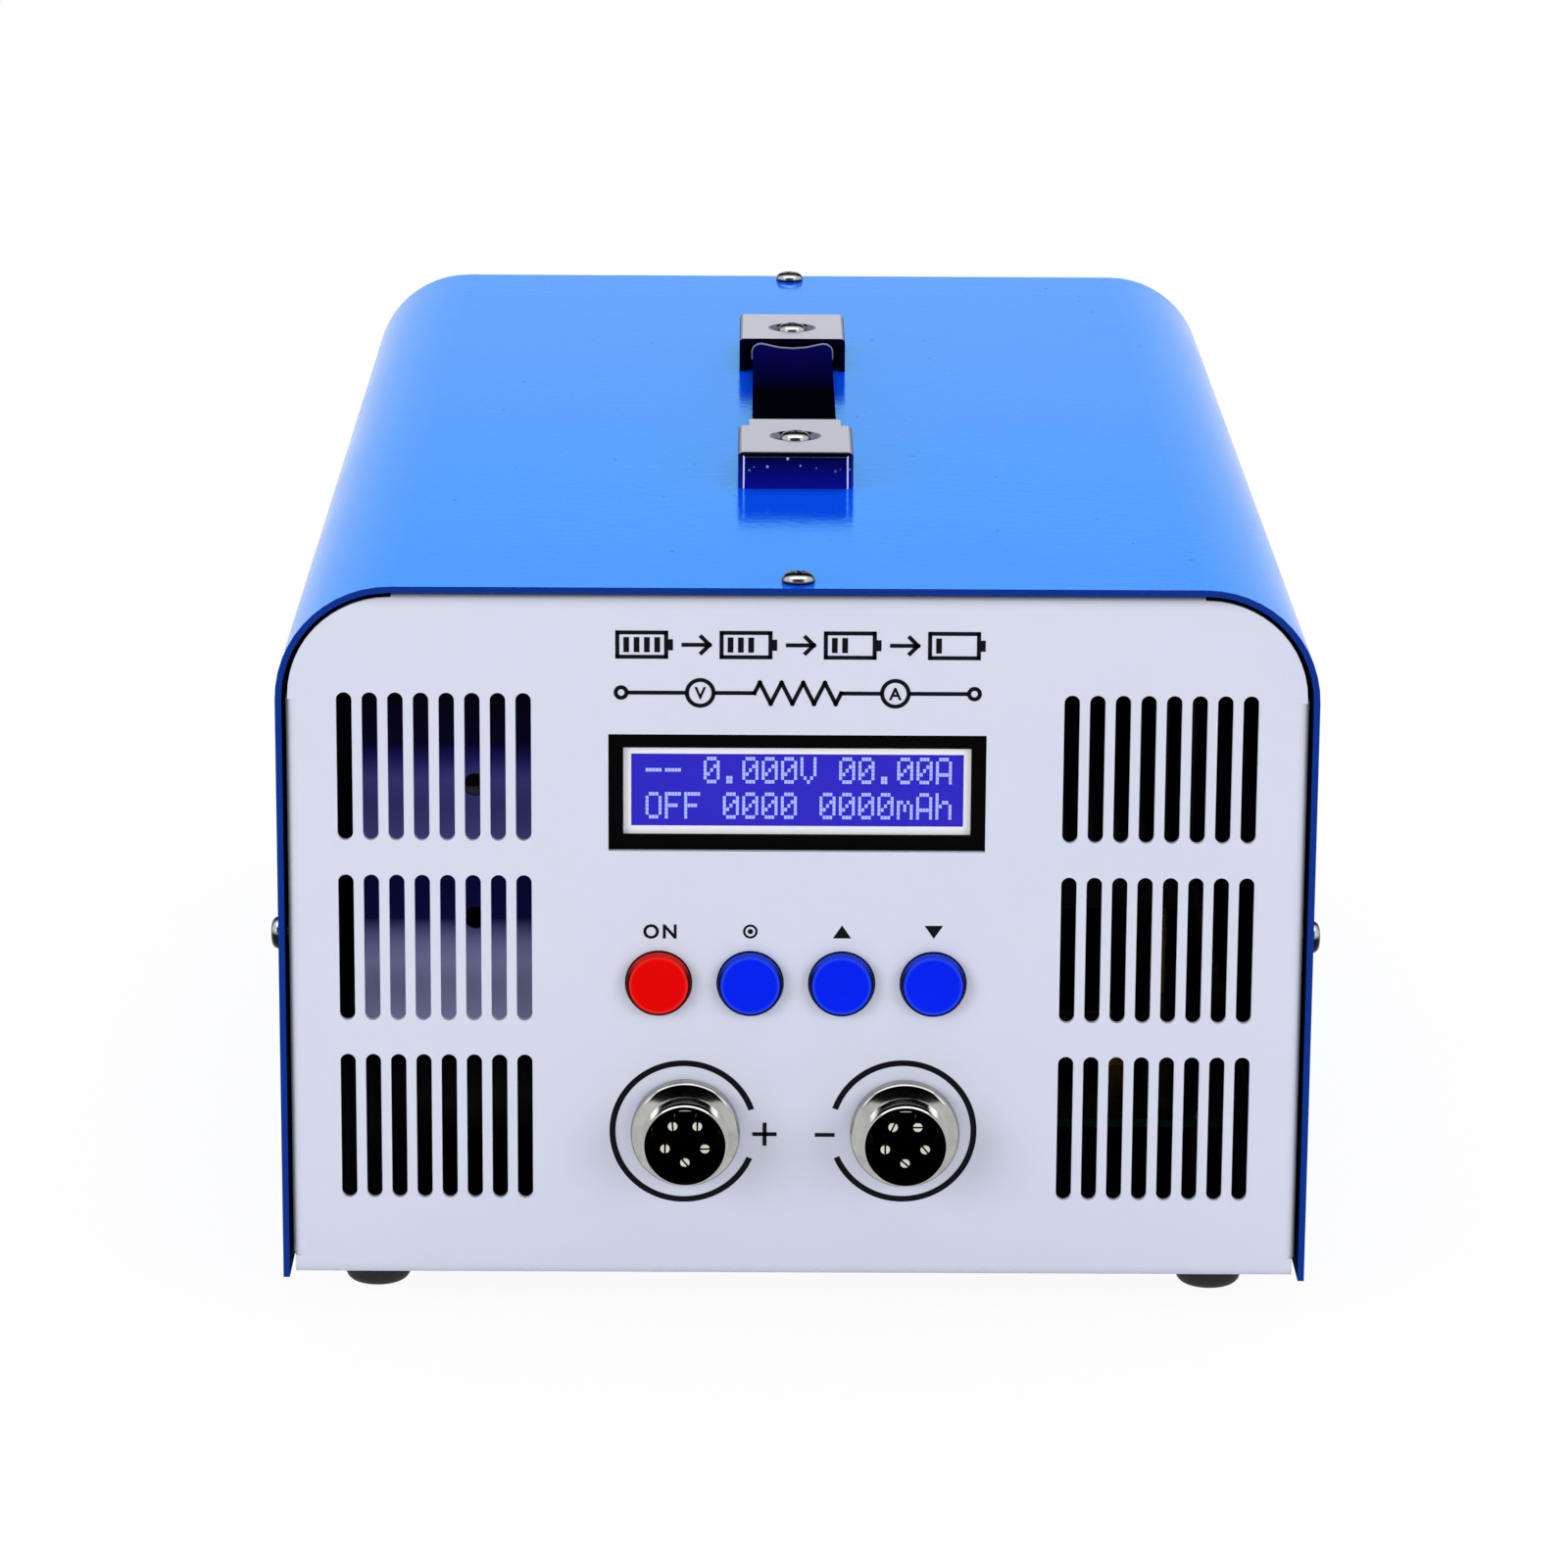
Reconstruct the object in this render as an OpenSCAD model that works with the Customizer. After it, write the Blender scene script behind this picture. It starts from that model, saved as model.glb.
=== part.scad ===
// Bench battery capacity tester with an internal electronic load.
// X runs to the right, Y from the front to the back, Z up. The case stands on four
// feet at Z = 0 and the whole object is centred on X and Y.

/* [Case] */
// Outside width of the cover
case_w = 193; // [188:0.5:205]
// Length of the cover from front to back
case_l = 325; // [318:1:345]
// Height of the cover's top above the underside of the floor
case_h = 133.5; // [130:0.5:145]
// Outer radius of the cover's two long top corners
corner_r = 21.5; // [18:0.5:26]
// Thickness of the cover's sheet
cover_t = 1.2; // [1:0.1:1.5]
// Thickness of the chassis sheet
sheet_t = 1.2; // [1:0.1:1.5]
// Gap between the cover and the chassis flanges
cover_gap = 0.6; // [0.4:0.1:0.9]
// Drop of the cover's sides below the underside of the floor
skirt = 0.5; // [0:0.1:1.5]
// Set-back of both end panels from the ends of the cover
panel_inset = 0.5; // [0:0.1:1.5]
// How much smaller the plain cut corners of the end panels are than the folded edges
corner_relief = 0.5; // [0.2:0.1:1]
// Depth of the folded flanges behind the end panels
flange_d = 13; // [11:0.5:16]
// Outer bend radius of the chassis sheet
bend_r = 2.2; // [1.8:0.1:3]
// Distance of the top cover screws from the cover's ends
top_screw_inset = 5.5; // [5:0.5:8]
// Distance of the side cover screws from the cover's ends
side_screw_inset = 8; // [6:0.5:9]
// Height of the side cover screws above the underside of the floor
side_screw_z = 65; // [50:1:80]

/* [Vent slots] */
// Width of one slot
slot_w = 2.9; // [2.5:0.1:3.3]
// Length of one slot, over its round ends
slot_len = 28.3; // [25:0.1:30]
// Distance between neighbouring slots
slot_pitch = 4.73; // [4.3:0.01:4.9]
// Slots in one row of a block
slot_count = 8; // [5:1:8]
// Rows of slots in a block
slot_rows = 3; // [1:1:3]
// Distance between the rows
row_pitch = 34.9; // [32:0.1:36]
// Height of the lowest row's middle
bottom_row_z = 29.4; // [28:0.1:32]
// Distance of the innermost slot from the middle of the panel
inner_slot_x = 50.7; // [50:0.1:53]

/* [Display] */
// Width of the panel's display window
window_w = 70; // [66:0.5:71]
// Height of the panel's display window
window_h = 22.4; // [20:0.2:23.4]
// Height of the window's middle above the underside of the floor
window_z = 94.4; // [93:0.1:97]
// Width of the display's metal frame
bezel_w = 71.4; // [71.2:0.2:73]
// Height of the display's metal frame
bezel_h = 24; // [23.6:0.2:26]
// Depth of the display's metal frame
bezel_d = 5.5; // [5:0.1:7]
// Width of the opening in the metal frame
view_w = 64.5; // [60:0.5:65]
// Height of the opening in the metal frame
view_h = 16.7; // [14:0.1:17.5]
// Wall of the metal frame
bezel_t = 0.8; // [0.5:0.1:1.2]
// Width of the display's circuit board
lcd_board_w = 80; // [79:0.5:82]
// Height of the display's circuit board
lcd_board_h = 36; // [35.5:0.5:38]
// Distance of the display board's holes from its edges
lcd_hole_edge = 2.5; // [2.4:0.1:3]
// Thickness of every circuit board
pcb_t = 1.6; // [1.2:0.1:2]
// Distance between the display board and the control board
lcd_stack = 3.2; // [2.5:0.1:5]

/* [Buttons] */
// Number of round buttons in the row
button_count = 4; // [4:1:4]
// Distance between neighbouring buttons
button_pitch = 17.1; // [15.5:0.1:18.5]
// Height of the button row above the underside of the floor
button_z = 57.7; // [56:0.1:60]
// Diameter of a button cap
button_d = 12.1; // [11:0.1:12.8]
// Diameter of the raised face of a button cap
button_face_d = 10.9; // [9:0.1:11]
// Height of a button cap in front of the panel
button_proud = 1.8; // [1.2:0.1:3]
// Gap round a button cap in its hole
button_gap = 0.25; // [0.15:0.05:0.5]
// Travel of a button
button_travel = 0.4; // [0.25:0.05:0.8]
// Side of a switch body
switch_w = 12; // [11:0.5:13]
// Height of a switch body above its board
switch_h = 4.3; // [3.5:0.1:4.6]
// Diameter of the plunger that joins a cap to its switch
plunger_d = 6.8; // [5:0.1:7.5]

/* [Sockets] */
// Distance of each socket from the middle of the panel
socket_x = 20.6; // [20:0.1:22]
// Height of the sockets above the underside of the floor
socket_z = 28.6; // [26:0.1:30]
// Outer diameter of the threaded shell
shell_d = 16.2; // [15.6:0.1:16.4]
// Inner diameter of the shell's mouth
mouth_d = 14.6; // [14.2:0.1:14.8]
// How far the shell stands out of the panel
socket_proud = 9; // [8:0.5:12]
// Depth of the shell's mouth
mouth_depth = 10.5; // [9:0.5:11]
// Diameter of the shell's flange
socket_flange_d = 20.6; // [19.5:0.1:22]
// Thickness of the shell's flange
socket_flange_t = 2.6; // [2:0.1:3]
// Length of the threaded shell behind the panel
shell_tail = 10; // [8:0.5:12]
// Diameter of a contact pin
pin_d = 2; // [1.8:0.1:2.1]
// Radius of the circle of contact pins
pin_circle_r = 3.93; // [3.9:0.01:4.1]
// Number of contact pins
pin_count = 5; // [3:1:5]
// Distance of the pins' tips behind the shell's rim
pin_setback = 2; // [1:0.5:3]
// Width of the nut behind the panel, across its flats
socket_nut_af = 19; // [18:0.5:20]

/* [Handle] */
// Length of the handle over its two end caps
handle_l = 150.5; // [140:0.5:160]
// Length of an end cap, tongue included
cap_l = 33.5; // [32:0.5:36]
// Width of an end cap
cap_w = 22.8; // [21.5:0.2:25]
// Height of an end cap
cap_h = 7.2; // [6.8:0.1:8]
// Thickness of an end cap's sheet
cap_t = 1.2; // [1:0.1:1.4]
// Width of the tongue over the strap
tongue_w = 18.4; // [17.8:0.2:19]
// Length of the rear end cap, which has no tongue
rear_cap_l = 29.7; // [27:0.1:33]
// Length of the tongue beyond the cap's side walls
tongue_l = 6.5; // [4:0.5:8]
// Width of the strap
strap_w = 17; // [15:0.5:17.4]
// Thickness of the strap
strap_t = 4; // [3.5:0.1:4.2]
// Height of the strap's underside above the cover
strap_lift = 0.9; // [0.5:0.1:1.2]
// Steepest angle of the lifted strap
strap_angle = 20; // [10:1:24]
// Diameter of a handle screw
handle_screw_d = 4; // [3:0.5:4]

/* [Feet] */
// Diameter of a rubber foot at its top
foot_d = 12.4; // [12:0.2:16]
// Diameter of a foot's flat sole
sole_d = 8.5; // [8:0.5:10]
// Height of a foot
foot_h = 6; // [5:0.5:9]
// Distance of the feet from the middle of the case
foot_x = 79.5; // [70:0.5:82]
// Distance of the feet from the ends of the case
foot_inset = 16; // [14:1:30]

/* [Fan] */
// Side of the square fan frame
fan_size = 80; // [78:1:80]
// Depth of the fan frame
fan_d = 25; // [24:1:30]
// Distance of the fan's screws from the sides of its frame
fan_screw_edge = 4.25; // [4:0.05:4.5]
// Diameter of the air passage through the fan
fan_bore_d = 76; // [74:0.5:76]
// Distance between the fan and the side of the end panels
fan_side_gap = 10.7; // [9:0.1:12]
// Height of the fan's middle above the underside of the floor
fan_z = 70; // [66:1:74]
// Diameter of the rotor's hub
hub_d = 33; // [30:1:38]
// Number of rotor blades
blade_count = 7; // [5:1:9]
// Gap between the blade tips and the fan's bore
tip_gap = 0.9; // [0.7:0.1:1.5]
// Radius of the fan's shaft
shaft_r = 1.5; // [1:0.1:2]
// Running clearance round the fan's shaft
shaft_gap = 0.05; // [0.02:0.01:0.08]
// Diameter of the finger guard's wire
guard_wire_d = 1.6; // [1.4:0.1:2]
// Number of rings in the finger guard
guard_rings = 7; // [5:1:7]

/* [Mains inlet] */
// Distance between the inlet's ears and the side of the end panels
inlet_side_gap = 13.7; // [9:0.1:16]
// Height of the inlet's middle above the underside of the floor
inlet_z = 52; // [48:1:56]
// Width of the inlet's body
inlet_w = 27; // [26.5:0.5:29]
// Height of the inlet's body
inlet_h = 47; // [46:0.5:50]
// Depth of the inlet's body behind the panel
inlet_d = 26; // [25:0.5:30]
// Thickness of the inlet's flange
inlet_flange_t = 2.6; // [2.2:0.1:3]
// Depth of the plug recess
plug_depth = 17; // [16:0.5:18]
// Distance between the inlet's screws
inlet_screw_pitch = 40; // [38:0.5:42]
// Travel of the fuse drawer
drawer_travel = 14; // [8:1:18]
// Angle through which the power rocker turns
rocker_angle = 20; // [14:1:22]

/* [Power supply] */
// Width of the power supply
psu_w = 32; // [28:0.5:32.5]
// Height of the power supply on its edge
psu_h = 82; // [76:1:84]
// Length of the power supply
psu_l = 180; // [160:2:190]
// Distance of the power supply from the middle of the case
psu_x = 65.5; // [65:0.5:67]
// Height of the power supply above the underside of the floor
psu_z = 42; // [40:0.5:43]
// Distance of the power supply behind the front of the case
psu_y = 18; // [16:1:24]
// Thickness of the power supply's sheet
psu_t = 1; // [0.8:0.1:1.2]

/* [Load board] */
// Left edge of the load board, from the middle of the case
board_left = -30; // [-32:0.5:-26]
// How far the load board reaches beyond the right side of the heatsink
board_overhang = 2; // [0:0.5:4]
// Front edge of the load board, behind the front of the case
board_front = 64; // [60:1:70]
// Distance between the load board and the fan
board_fan_gap = 7; // [4:1:10]
// Height of the board's pillars above the floor
pillar_h = 8; // [6:0.5:9]
// Length of the heatsink
sink_l = 150; // [130:2:156]
// Height of the heatsink's underside above the load board
sink_lift = 22; // [20:0.5:24]
// Thickness of the heatsink's base
sink_base_t = 7; // [6:0.5:9]
// Height of the heatsink's fins
fin_h = 62; // [55:1:66]
// Number of fins
fin_count = 15; // [9:1:16]
// Thickness of a fin
fin_t = 1.8; // [1.5:0.1:2]
// Number of power transistors in each of the two rows
transistor_count = 4; // [2:1:5]
// Diameter of a power lead
lead_d = 5; // [4:0.5:5.5]

/* [Hidden] */
$fn = 48;
eps = 0.01;
// Gap between faces that meet without touching
seat = 0.05;

// Chassis sizes that follow from the cover
panel_w = case_w - 2 * (cover_t + cover_gap);
panel_h = case_h - cover_t - cover_gap;
panel_r = corner_r - cover_t - cover_gap;
cut_w = panel_w - 2 * corner_relief;
cut_h = panel_h - corner_relief;
cut_r = panel_r - 1.1;
fold_w = panel_w - 2 * panel_r;
fold_z0 = bend_r + 1.5;
fold_z1 = panel_h - panel_r;
inner_y = panel_inset + sheet_t;
rear_y = case_l - panel_inset;
rear_in_y = rear_y - sheet_t;

// Small fasteners
screw_r = 1.5;
screw_hole_r = 1.55;
cover_hole_r = 1.7;
screw_head_r = 3.1;
screw_head_h = 1.9;
small_head_r = 2.8;
recess_w = 0.7;
nut_af = 5.5;
nut_h = 2.4;

// Display and control stack behind the front panel
bezel_y = inner_y + seat;
lcd_board_y = bezel_y + bezel_d;
control_y = lcd_board_y + pcb_t + lcd_stack;
glass_y = bezel_y + bezel_t;
control_w = lcd_board_w + 14;
control_top = window_z + lcd_board_h / 2 + 4.5;
control_bottom = button_z - switch_w / 2 - 5;
stud_x = control_w / 2 - 3;
stud_top = control_top - 3;
stud_bottom = control_bottom + 3;
stud_r = 1.5;
spacer_r = 2.4;
lcd_hole_x = lcd_board_w / 2 - lcd_hole_edge;
lcd_hole_z = lcd_board_h / 2 - lcd_hole_edge;

// Buttons
button_hole_d = button_d + 2 * button_gap;
button_back = control_y - switch_h - button_travel - 0.6;
cap_wall = 1.3;
plunger_sink = 1.8;

// Sockets
socket_face = panel_inset;
rim_y = socket_face - socket_proud;
insert_y = rim_y + mouth_depth;
shell_end = inner_y + shell_tail;
insert_end = shell_end + 2;
cup_l = 4;
thread_root_r = shell_d / 2 - 0.25;
socket_nut_t = 2.6;
washer_t = 0.8;

// Handle
handle_y0 = (case_l - handle_l) / 2;
handle_y1 = (case_l + handle_l) / 2;
handle_screw_y0 = handle_y0 + cap_l / 2;
handle_screw_y1 = handle_y1 - cap_l / 2;
dimple_r = 5.2;
dimple_floor_r = screw_head_r + 0.4;
dimple_d = 1.2;
cap_edge_r = 1.6;
cap_fold_r = 1;
handle_bore_r = handle_screw_d / 2 + 0.1;
handle_head_h = 2.2;
handle_nut_h = 3;
handle_nut_af = handle_screw_d + 3;
strap_z = case_h + strap_lift;
link_gap = 0.3;
mouth_gap = strap_t / 2 + 1;
knuckle_gap = strap_t / 2 + link_gap;
strap_edge_r = 1.2;
hinge_y0 = handle_y0 + cap_l + mouth_gap;
hinge_y1 = handle_y1 - cap_l - mouth_gap;
hinge_mid = case_l / 2;
hinge_z = strap_z + strap_t / 2;
end_t = 2.4;
end_w = 14.5;
strap_slide = 2 * (hinge_mid - hinge_y0) * (1 - cos(strap_angle));
end_slot = strap_slide + 1.2;
end_z = cap_h - cap_t - dimple_d - 0.3 - end_t;

// Feet
foot_recess_r = 3.4;
foot_recess_h = 3.2;
foot_floor = foot_h - foot_recess_h;

// Fan
fan_x = panel_w / 2 - fan_size / 2 - fan_side_gap;
fan_y = rear_in_y - fan_d - seat;
fan_flange_t = 3.6;
fan_shell_r = fan_bore_d / 2 + 1.6;
fan_hole_r = 2.2;
fan_screw_pitch = fan_size - 2 * fan_screw_edge;
motor_t = 3;
rotor_y = fan_y + 1.6;
rotor_l = fan_d - motor_t - 1.6 - 1.2;
blade_r = fan_bore_d / 2 - tip_gap;
blade_span = rotor_l - 3;
blade_twist = 34;
blade_sweep = 16;
blade_arc = 3.4;
guard_y = rear_y + guard_wire_d - 0.3;
guard_r = fan_bore_d / 2 - 1.5;
guard_hub_r = 8;
guard_pitch = (guard_r - guard_hub_r) / (guard_rings - 1);
eye_r = 3.1;
fan_head_h = 2.4;
fan_head_r = 4;

// Mains inlet, whose parts are stacked from the bottom to the top
inlet_flange_w = 31;
inlet_flange_h = 60;
inlet_ear_w = inlet_screw_pitch + 10;
inlet_x = panel_w / 2 - inlet_ear_w / 2 - inlet_side_gap;
inlet_wall = 1.4;
inlet_face = rear_y + inlet_flange_t;
plug_w = 24.2;
plug_h = 16.4;
plug_z = inlet_z - inlet_h / 2 + inlet_wall + plug_h / 2;
drawer_w = 24;
drawer_h = 7;
drawer_keep = 8;
drawer_l = drawer_travel + drawer_keep;
drawer_gap = 0.2;
drawer_wall = 1.2;
fuse_d = 5.2;
fuse_l = 20;
fuse_cap_l = 5;
drawer_z = plug_z + plug_h / 2 + inlet_wall + drawer_h / 2 + drawer_gap;
rocker_w = 20;
rocker_h = 13.2;
rocker_gap = 0.8;
rocker_z = inlet_z + inlet_h / 2 - inlet_wall - rocker_h / 2 - rocker_gap;
rocker_rise = 3;
rocker_r = rocker_h / 2 - 0.2;
pivot_y = inlet_face - rocker_rise;
pivot_r = 1.5;
pivot_gap = 0.05;
pivot_l = 0.9;
blade_l = 13;
tab_l = 8;
live_x = 7;
live_z = -1.5;
earth_z = 2.5;

// Power supply
psu_left = -psu_x - psu_w / 2;
psu_right = -psu_x + psu_w / 2;
psu_back = psu_y + psu_l;
psu_hole_r = 2.2;
psu_hole_side = 11;
psu_hole_z = 23.2;
psu_hole_pitch = 26;
psu_lip = 4;
psu_fold = 9;
clamp_z = 14;
clamp_w = 6;
clamp_pitch = 9.4;
clamp_count = 6;
clamp_depth = 4;
block_l = 16;
block_rim = 4;
clamp_side = 6;
wire_r = 1.3;
mains_reach = 40;
mains_bow = 30;
output_bow = 22;
output_rise = 40;
bracket_t = 1.6;
bracket_foot = 14;
bracket_end = 12;
bracket_hole_r = 9;
bracket_hole_drop = 20;
vent_r = 2.2;
vent_pitch = 7;
vent_inset_y = 15;
vent_inset_z = 9;

// Load board and heatsink
floor_top = sheet_t;
board_z = floor_top + pillar_h;
board_top = board_z + pcb_t;
board_back = fan_y - board_fan_gap;
sink_w = fan_size;
sink_x0 = fan_x - sink_w / 2;
board_right = sink_x0 + sink_w + board_overhang;
board_w = board_right - board_left;
board_l = board_back - board_front;
board_hole_inset = 5;
board_hole_xs = [board_left + board_hole_inset, board_right - board_hole_inset];
board_middle = (board_front + board_back) / 2;
board_hole_ys = [board_front + board_hole_inset, board_middle, board_back - board_hole_inset];
sink_y1 = board_back - 2;
sink_y0 = sink_y1 - sink_l;
sink_z = board_top + sink_lift;
fin_pitch = (sink_w - fin_t) / (fin_count - 1);
sink_hole_inset = 6;
sink_hole_end = 15;
transistor_w = 15.8;
transistor_l = 20.8;
transistor_t = 4.8;
transistor_edge = 20;
transistor_pitch = (sink_l - 2 * transistor_edge) / transistor_count;
leg_w = 1;
leg_t = 0.7;
leg_reach = 3;
leg_pitch = 5.4;
leg_z = 1.6;
terminal_w = 12;
terminal_h = 12;
terminal_y = board_front + 16;
capacitor_d = 17;
capacitor_h = 30;
capacitor_crimp = 0.8;
capacitor_edge = 14;
capacitor_pitch = 24;
shunt_l = 32;
shunt_w = 16;
shunt_h = 8;
shunt_t = 1.6;
shunt_foot = 4;
shunt_pad_t = 3;
shunt_strip = 2;
shunt_pitch = 5;
shunt_shift = 8;
function capacitor_y(i) = board_middle + (i - 2.5) * capacitor_pitch;
pad_edge = 6;
pad_pitch = 8;
pad_y = capacitor_y(3) + capacitor_d / 2 + 12;
lead_steps = 14;
lead_sides = 10;
cable_w = 20;
cable_t = 0.8;
cable_bend_r = 6;

// The case's own frame: Y = 0 at the front of the cover, Z = 0 under the floor
front_proud = socket_proud - panel_inset;
rocker_tip = rocker_rise + 0.2 + rocker_h / 2 * tan(rocker_angle / 2);
rocker_reach = rocker_tip * cos(rocker_angle / 2) + rocker_h / 2 * sin(rocker_angle / 2);
rear_proud = max(guard_y + guard_wire_d, rear_y + guard_wire_d + fan_head_h, pivot_y + rocker_reach,
    inlet_face + screw_head_h) - case_l;
module case_frame() {
    translate([0, -case_l / 2 + (front_proud - rear_proud) / 2, foot_h]) children();
}

// Front-view outline made into a plate of thickness t whose front is at y
module plate(y, t) {
    translate([0, y + t, 0]) rotate([90, 0, 0]) linear_extrude(t) children();
}

// Side-view outline (Y to the right, Z up) made into a slab of width w from x
module slab(x, w) {
    translate([x, 0, 0]) rotate([90, 0, 90]) linear_extrude(w) children();
}

// Round bar along Y
module rod(y, l, r) {
    translate([0, y, 0]) rotate([-90, 0, 0]) cylinder(h = l, r = r);
}

module box(x0, x1, y0, y1, z0, z1) {
    translate([x0, y0, z0]) cube([x1 - x0, y1 - y0, z1 - z0]);
}

module at_corners(dx, dz) {
    for (x = [-dx, dx], z = [-dz, dz]) translate([x, z]) children();
}

module round_rect(w, h, r) {
    square([w - 2 * r, h], center = true);
    square([w, h - 2 * r], center = true);
    at_corners(w / 2 - r, h / 2 - r) circle(r);
}

// Upright outline with two round top corners, standing on the X axis
module arch(w, h, r) {
    translate([-w / 2, 0]) square([w, h - r]);
    translate([-w / 2 + r, 0]) square([w - 2 * r, h]);
    for (s = [-1, 1]) translate([s * (w / 2 - r), h - r]) circle(r);
}

module slot_outline(w, l) {
    square([w, l - w], center = true);
    for (s = [-1, 1]) translate([0, s * (l - w) / 2]) circle(w / 2);
}

// Pan head screw along Z: its head stands on Z = 0 and its shank hangs below
module pan_screw(r, l, head_r, head_h) {
    difference() {
        union() {
            translate([0, 0, -l]) cylinder(h = l + head_h / 3, r = r);
            cylinder(h = head_h - 0.7, r = head_r);
            translate([0, 0, head_h - 0.7 - eps]) cylinder(h = 0.7 + eps, r1 = head_r, r2 = head_r * 0.72);
        }
        for (a = [0, 90]) rotate([0, 0, a])
            translate([-head_r * 0.55, -recess_w / 2, head_h - 1.1]) cube([head_r * 1.1, recess_w, 2]);
    }
}

module hex_nut(af, h, bore_r) {
    difference() {
        cylinder(h = h, r = af / 2 / cos(30), $fn = 6);
        translate([0, 0, -1]) cylinder(h = h + 2, r = bore_r, $fn = 32);
    }
}

// Points of a cubic curve from a to d, pulled towards b and c
function curve_at(a, b, c, d, t) = pow(1 - t, 3) * a + 3 * pow(1 - t, 2) * t * b + 3 * (1 - t) * t * t * c
    + t * t * t * d;
function curve_slope(a, b, c, d, t) = 3 * pow(1 - t, 2) * (b - a) + 6 * (1 - t) * t * (c - b)
    + 3 * t * t * (d - c);
function unit(v) = v / norm(v);

// Round wire of radius r along the cubic curve through a and d
module wire(a, b, c, d, r) {
    n = lead_steps;
    m = lead_sides;
    rings = [for (i = [0 : n])
        let (p = curve_at(a, b, c, d, i / n), f = unit(curve_slope(a, b, c, d, i / n)),
            u = unit(cross(f, [1, 0.3, 0.1])), v = cross(f, u))
        for (k = [0 : m - 1]) p + r * cos(360 * k / m) * u + r * sin(360 * k / m) * v];
    sides = [for (i = [0 : n - 1], k = [0 : m - 1])
        [i * m + k, i * m + (k + 1) % m, (i + 1) * m + (k + 1) % m, (i + 1) * m + k]];
    polyhedron(points = rings, convexity = 6,
        faces = concat([[for (k = [m - 1 : -1 : 0]) k]], sides, [[for (k = [0 : m - 1]) n * m + k]]));
}

// Places of things that repeat
module each_cover_screw() {
    for (y = [top_screw_inset, case_l - top_screw_inset]) translate([0, y, case_h]) children();
    for (s = [-1, 1], y = [side_screw_inset, case_l - side_screw_inset])
        translate([s * case_w / 2, y, side_screw_z]) rotate([0, s * 90, 0]) children();
}
module each_foot() {
    for (x = [-foot_x, foot_x], y = [foot_inset, case_l - foot_inset]) translate([x, y, 0]) children();
}
module each_stud() {
    for (x = [-stud_x, stud_x], z = [stud_bottom, stud_top]) translate([x, 0, z]) children();
}
module each_lcd_hole() {
    for (x = [-lcd_hole_x, lcd_hole_x], z = [-lcd_hole_z, lcd_hole_z])
        translate([x, 0, window_z + z]) children();
}
module each_button() {
    for (i = [0 : button_count - 1]) translate([button_place(i), 0, button_z]) children();
}
module each_board_hole() {
    for (x = board_hole_xs, y = board_hole_ys) translate([x, y, 0]) children();
}
module each_sink_hole() {
    for (x = [sink_x0 + sink_hole_inset, sink_x0 + sink_w - sink_hole_inset],
        y = [sink_y0 + sink_hole_end, sink_y1 - sink_hole_end]) translate([x, y, 0]) children();
}
module each_fan_screw() {
    for (x = [-1, 1], z = [-1, 1])
        translate([fan_x + x * fan_screw_pitch / 2, 0, fan_z + z * fan_screw_pitch / 2]) children();
}
function button_place(i) = (i - (button_count - 1) / 2) * button_pitch;

// Block of vent slots: s is the side of the panel, and rows counts up from the lowest
module vent_outlines(s, rows) {
    for (i = [0 : slot_count - 1], row = rows)
        translate([s * (inner_slot_x + i * slot_pitch), bottom_row_z + row * row_pitch])
            slot_outline(slot_w, slot_len);
}

module front_cuts() {
    for (s = [-1, 1]) vent_outlines(s, [0 : slot_rows - 1]);
    translate([0, window_z]) square([window_w, window_h], center = true);
    for (i = [0 : button_count - 1]) translate([button_place(i), button_z]) circle(button_hole_d / 2);
    for (s = [-1, 1]) translate([s * socket_x, socket_z]) circle(shell_d / 2 + 0.1);
}

module rear_cuts() {
    vent_outlines(-1, [slot_rows - 1 : slot_rows - 1]);
    translate([fan_x, fan_z]) circle(fan_bore_d / 2);
    translate([fan_x, fan_z]) at_corners(fan_screw_pitch / 2, fan_screw_pitch / 2) circle(fan_hole_r);
    translate([-inlet_x, inlet_z]) square([inlet_w + 0.4, inlet_h + 0.4], center = true);
    for (s = [-1, 1]) translate([-inlet_x + s * inlet_screw_pitch / 2, inlet_z]) circle(screw_hole_r);
}

// Side view of the bent sheet: panels, floor and, when returns is true, the top flanges
module bent_outline(returns) {
    l = rear_y - panel_inset;
    difference() {
        translate([panel_inset + l / 2, panel_h / 2]) round_rect(l, panel_h, bend_r);
        translate([panel_inset + l / 2, panel_h / 2])
            round_rect(l - 2 * sheet_t, panel_h - 2 * sheet_t, bend_r - sheet_t);
        reach = returns ? flange_d : sheet_t - eps;
        translate([panel_inset + reach, panel_h / 2]) square([l - 2 * reach, panel_h]);
    }
}

// Plan view of both end panels with the side flanges folded back
module flange_outline() {
    l = rear_y - panel_inset;
    difference() {
        translate([0, panel_inset + l / 2]) round_rect(panel_w, l, bend_r);
        translate([0, panel_inset + l / 2])
            round_rect(panel_w - 2 * sheet_t, l - 2 * sheet_t, bend_r - sheet_t);
        translate([-panel_w, panel_inset + flange_d]) square([2 * panel_w, l - 2 * flange_d]);
    }
}

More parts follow.
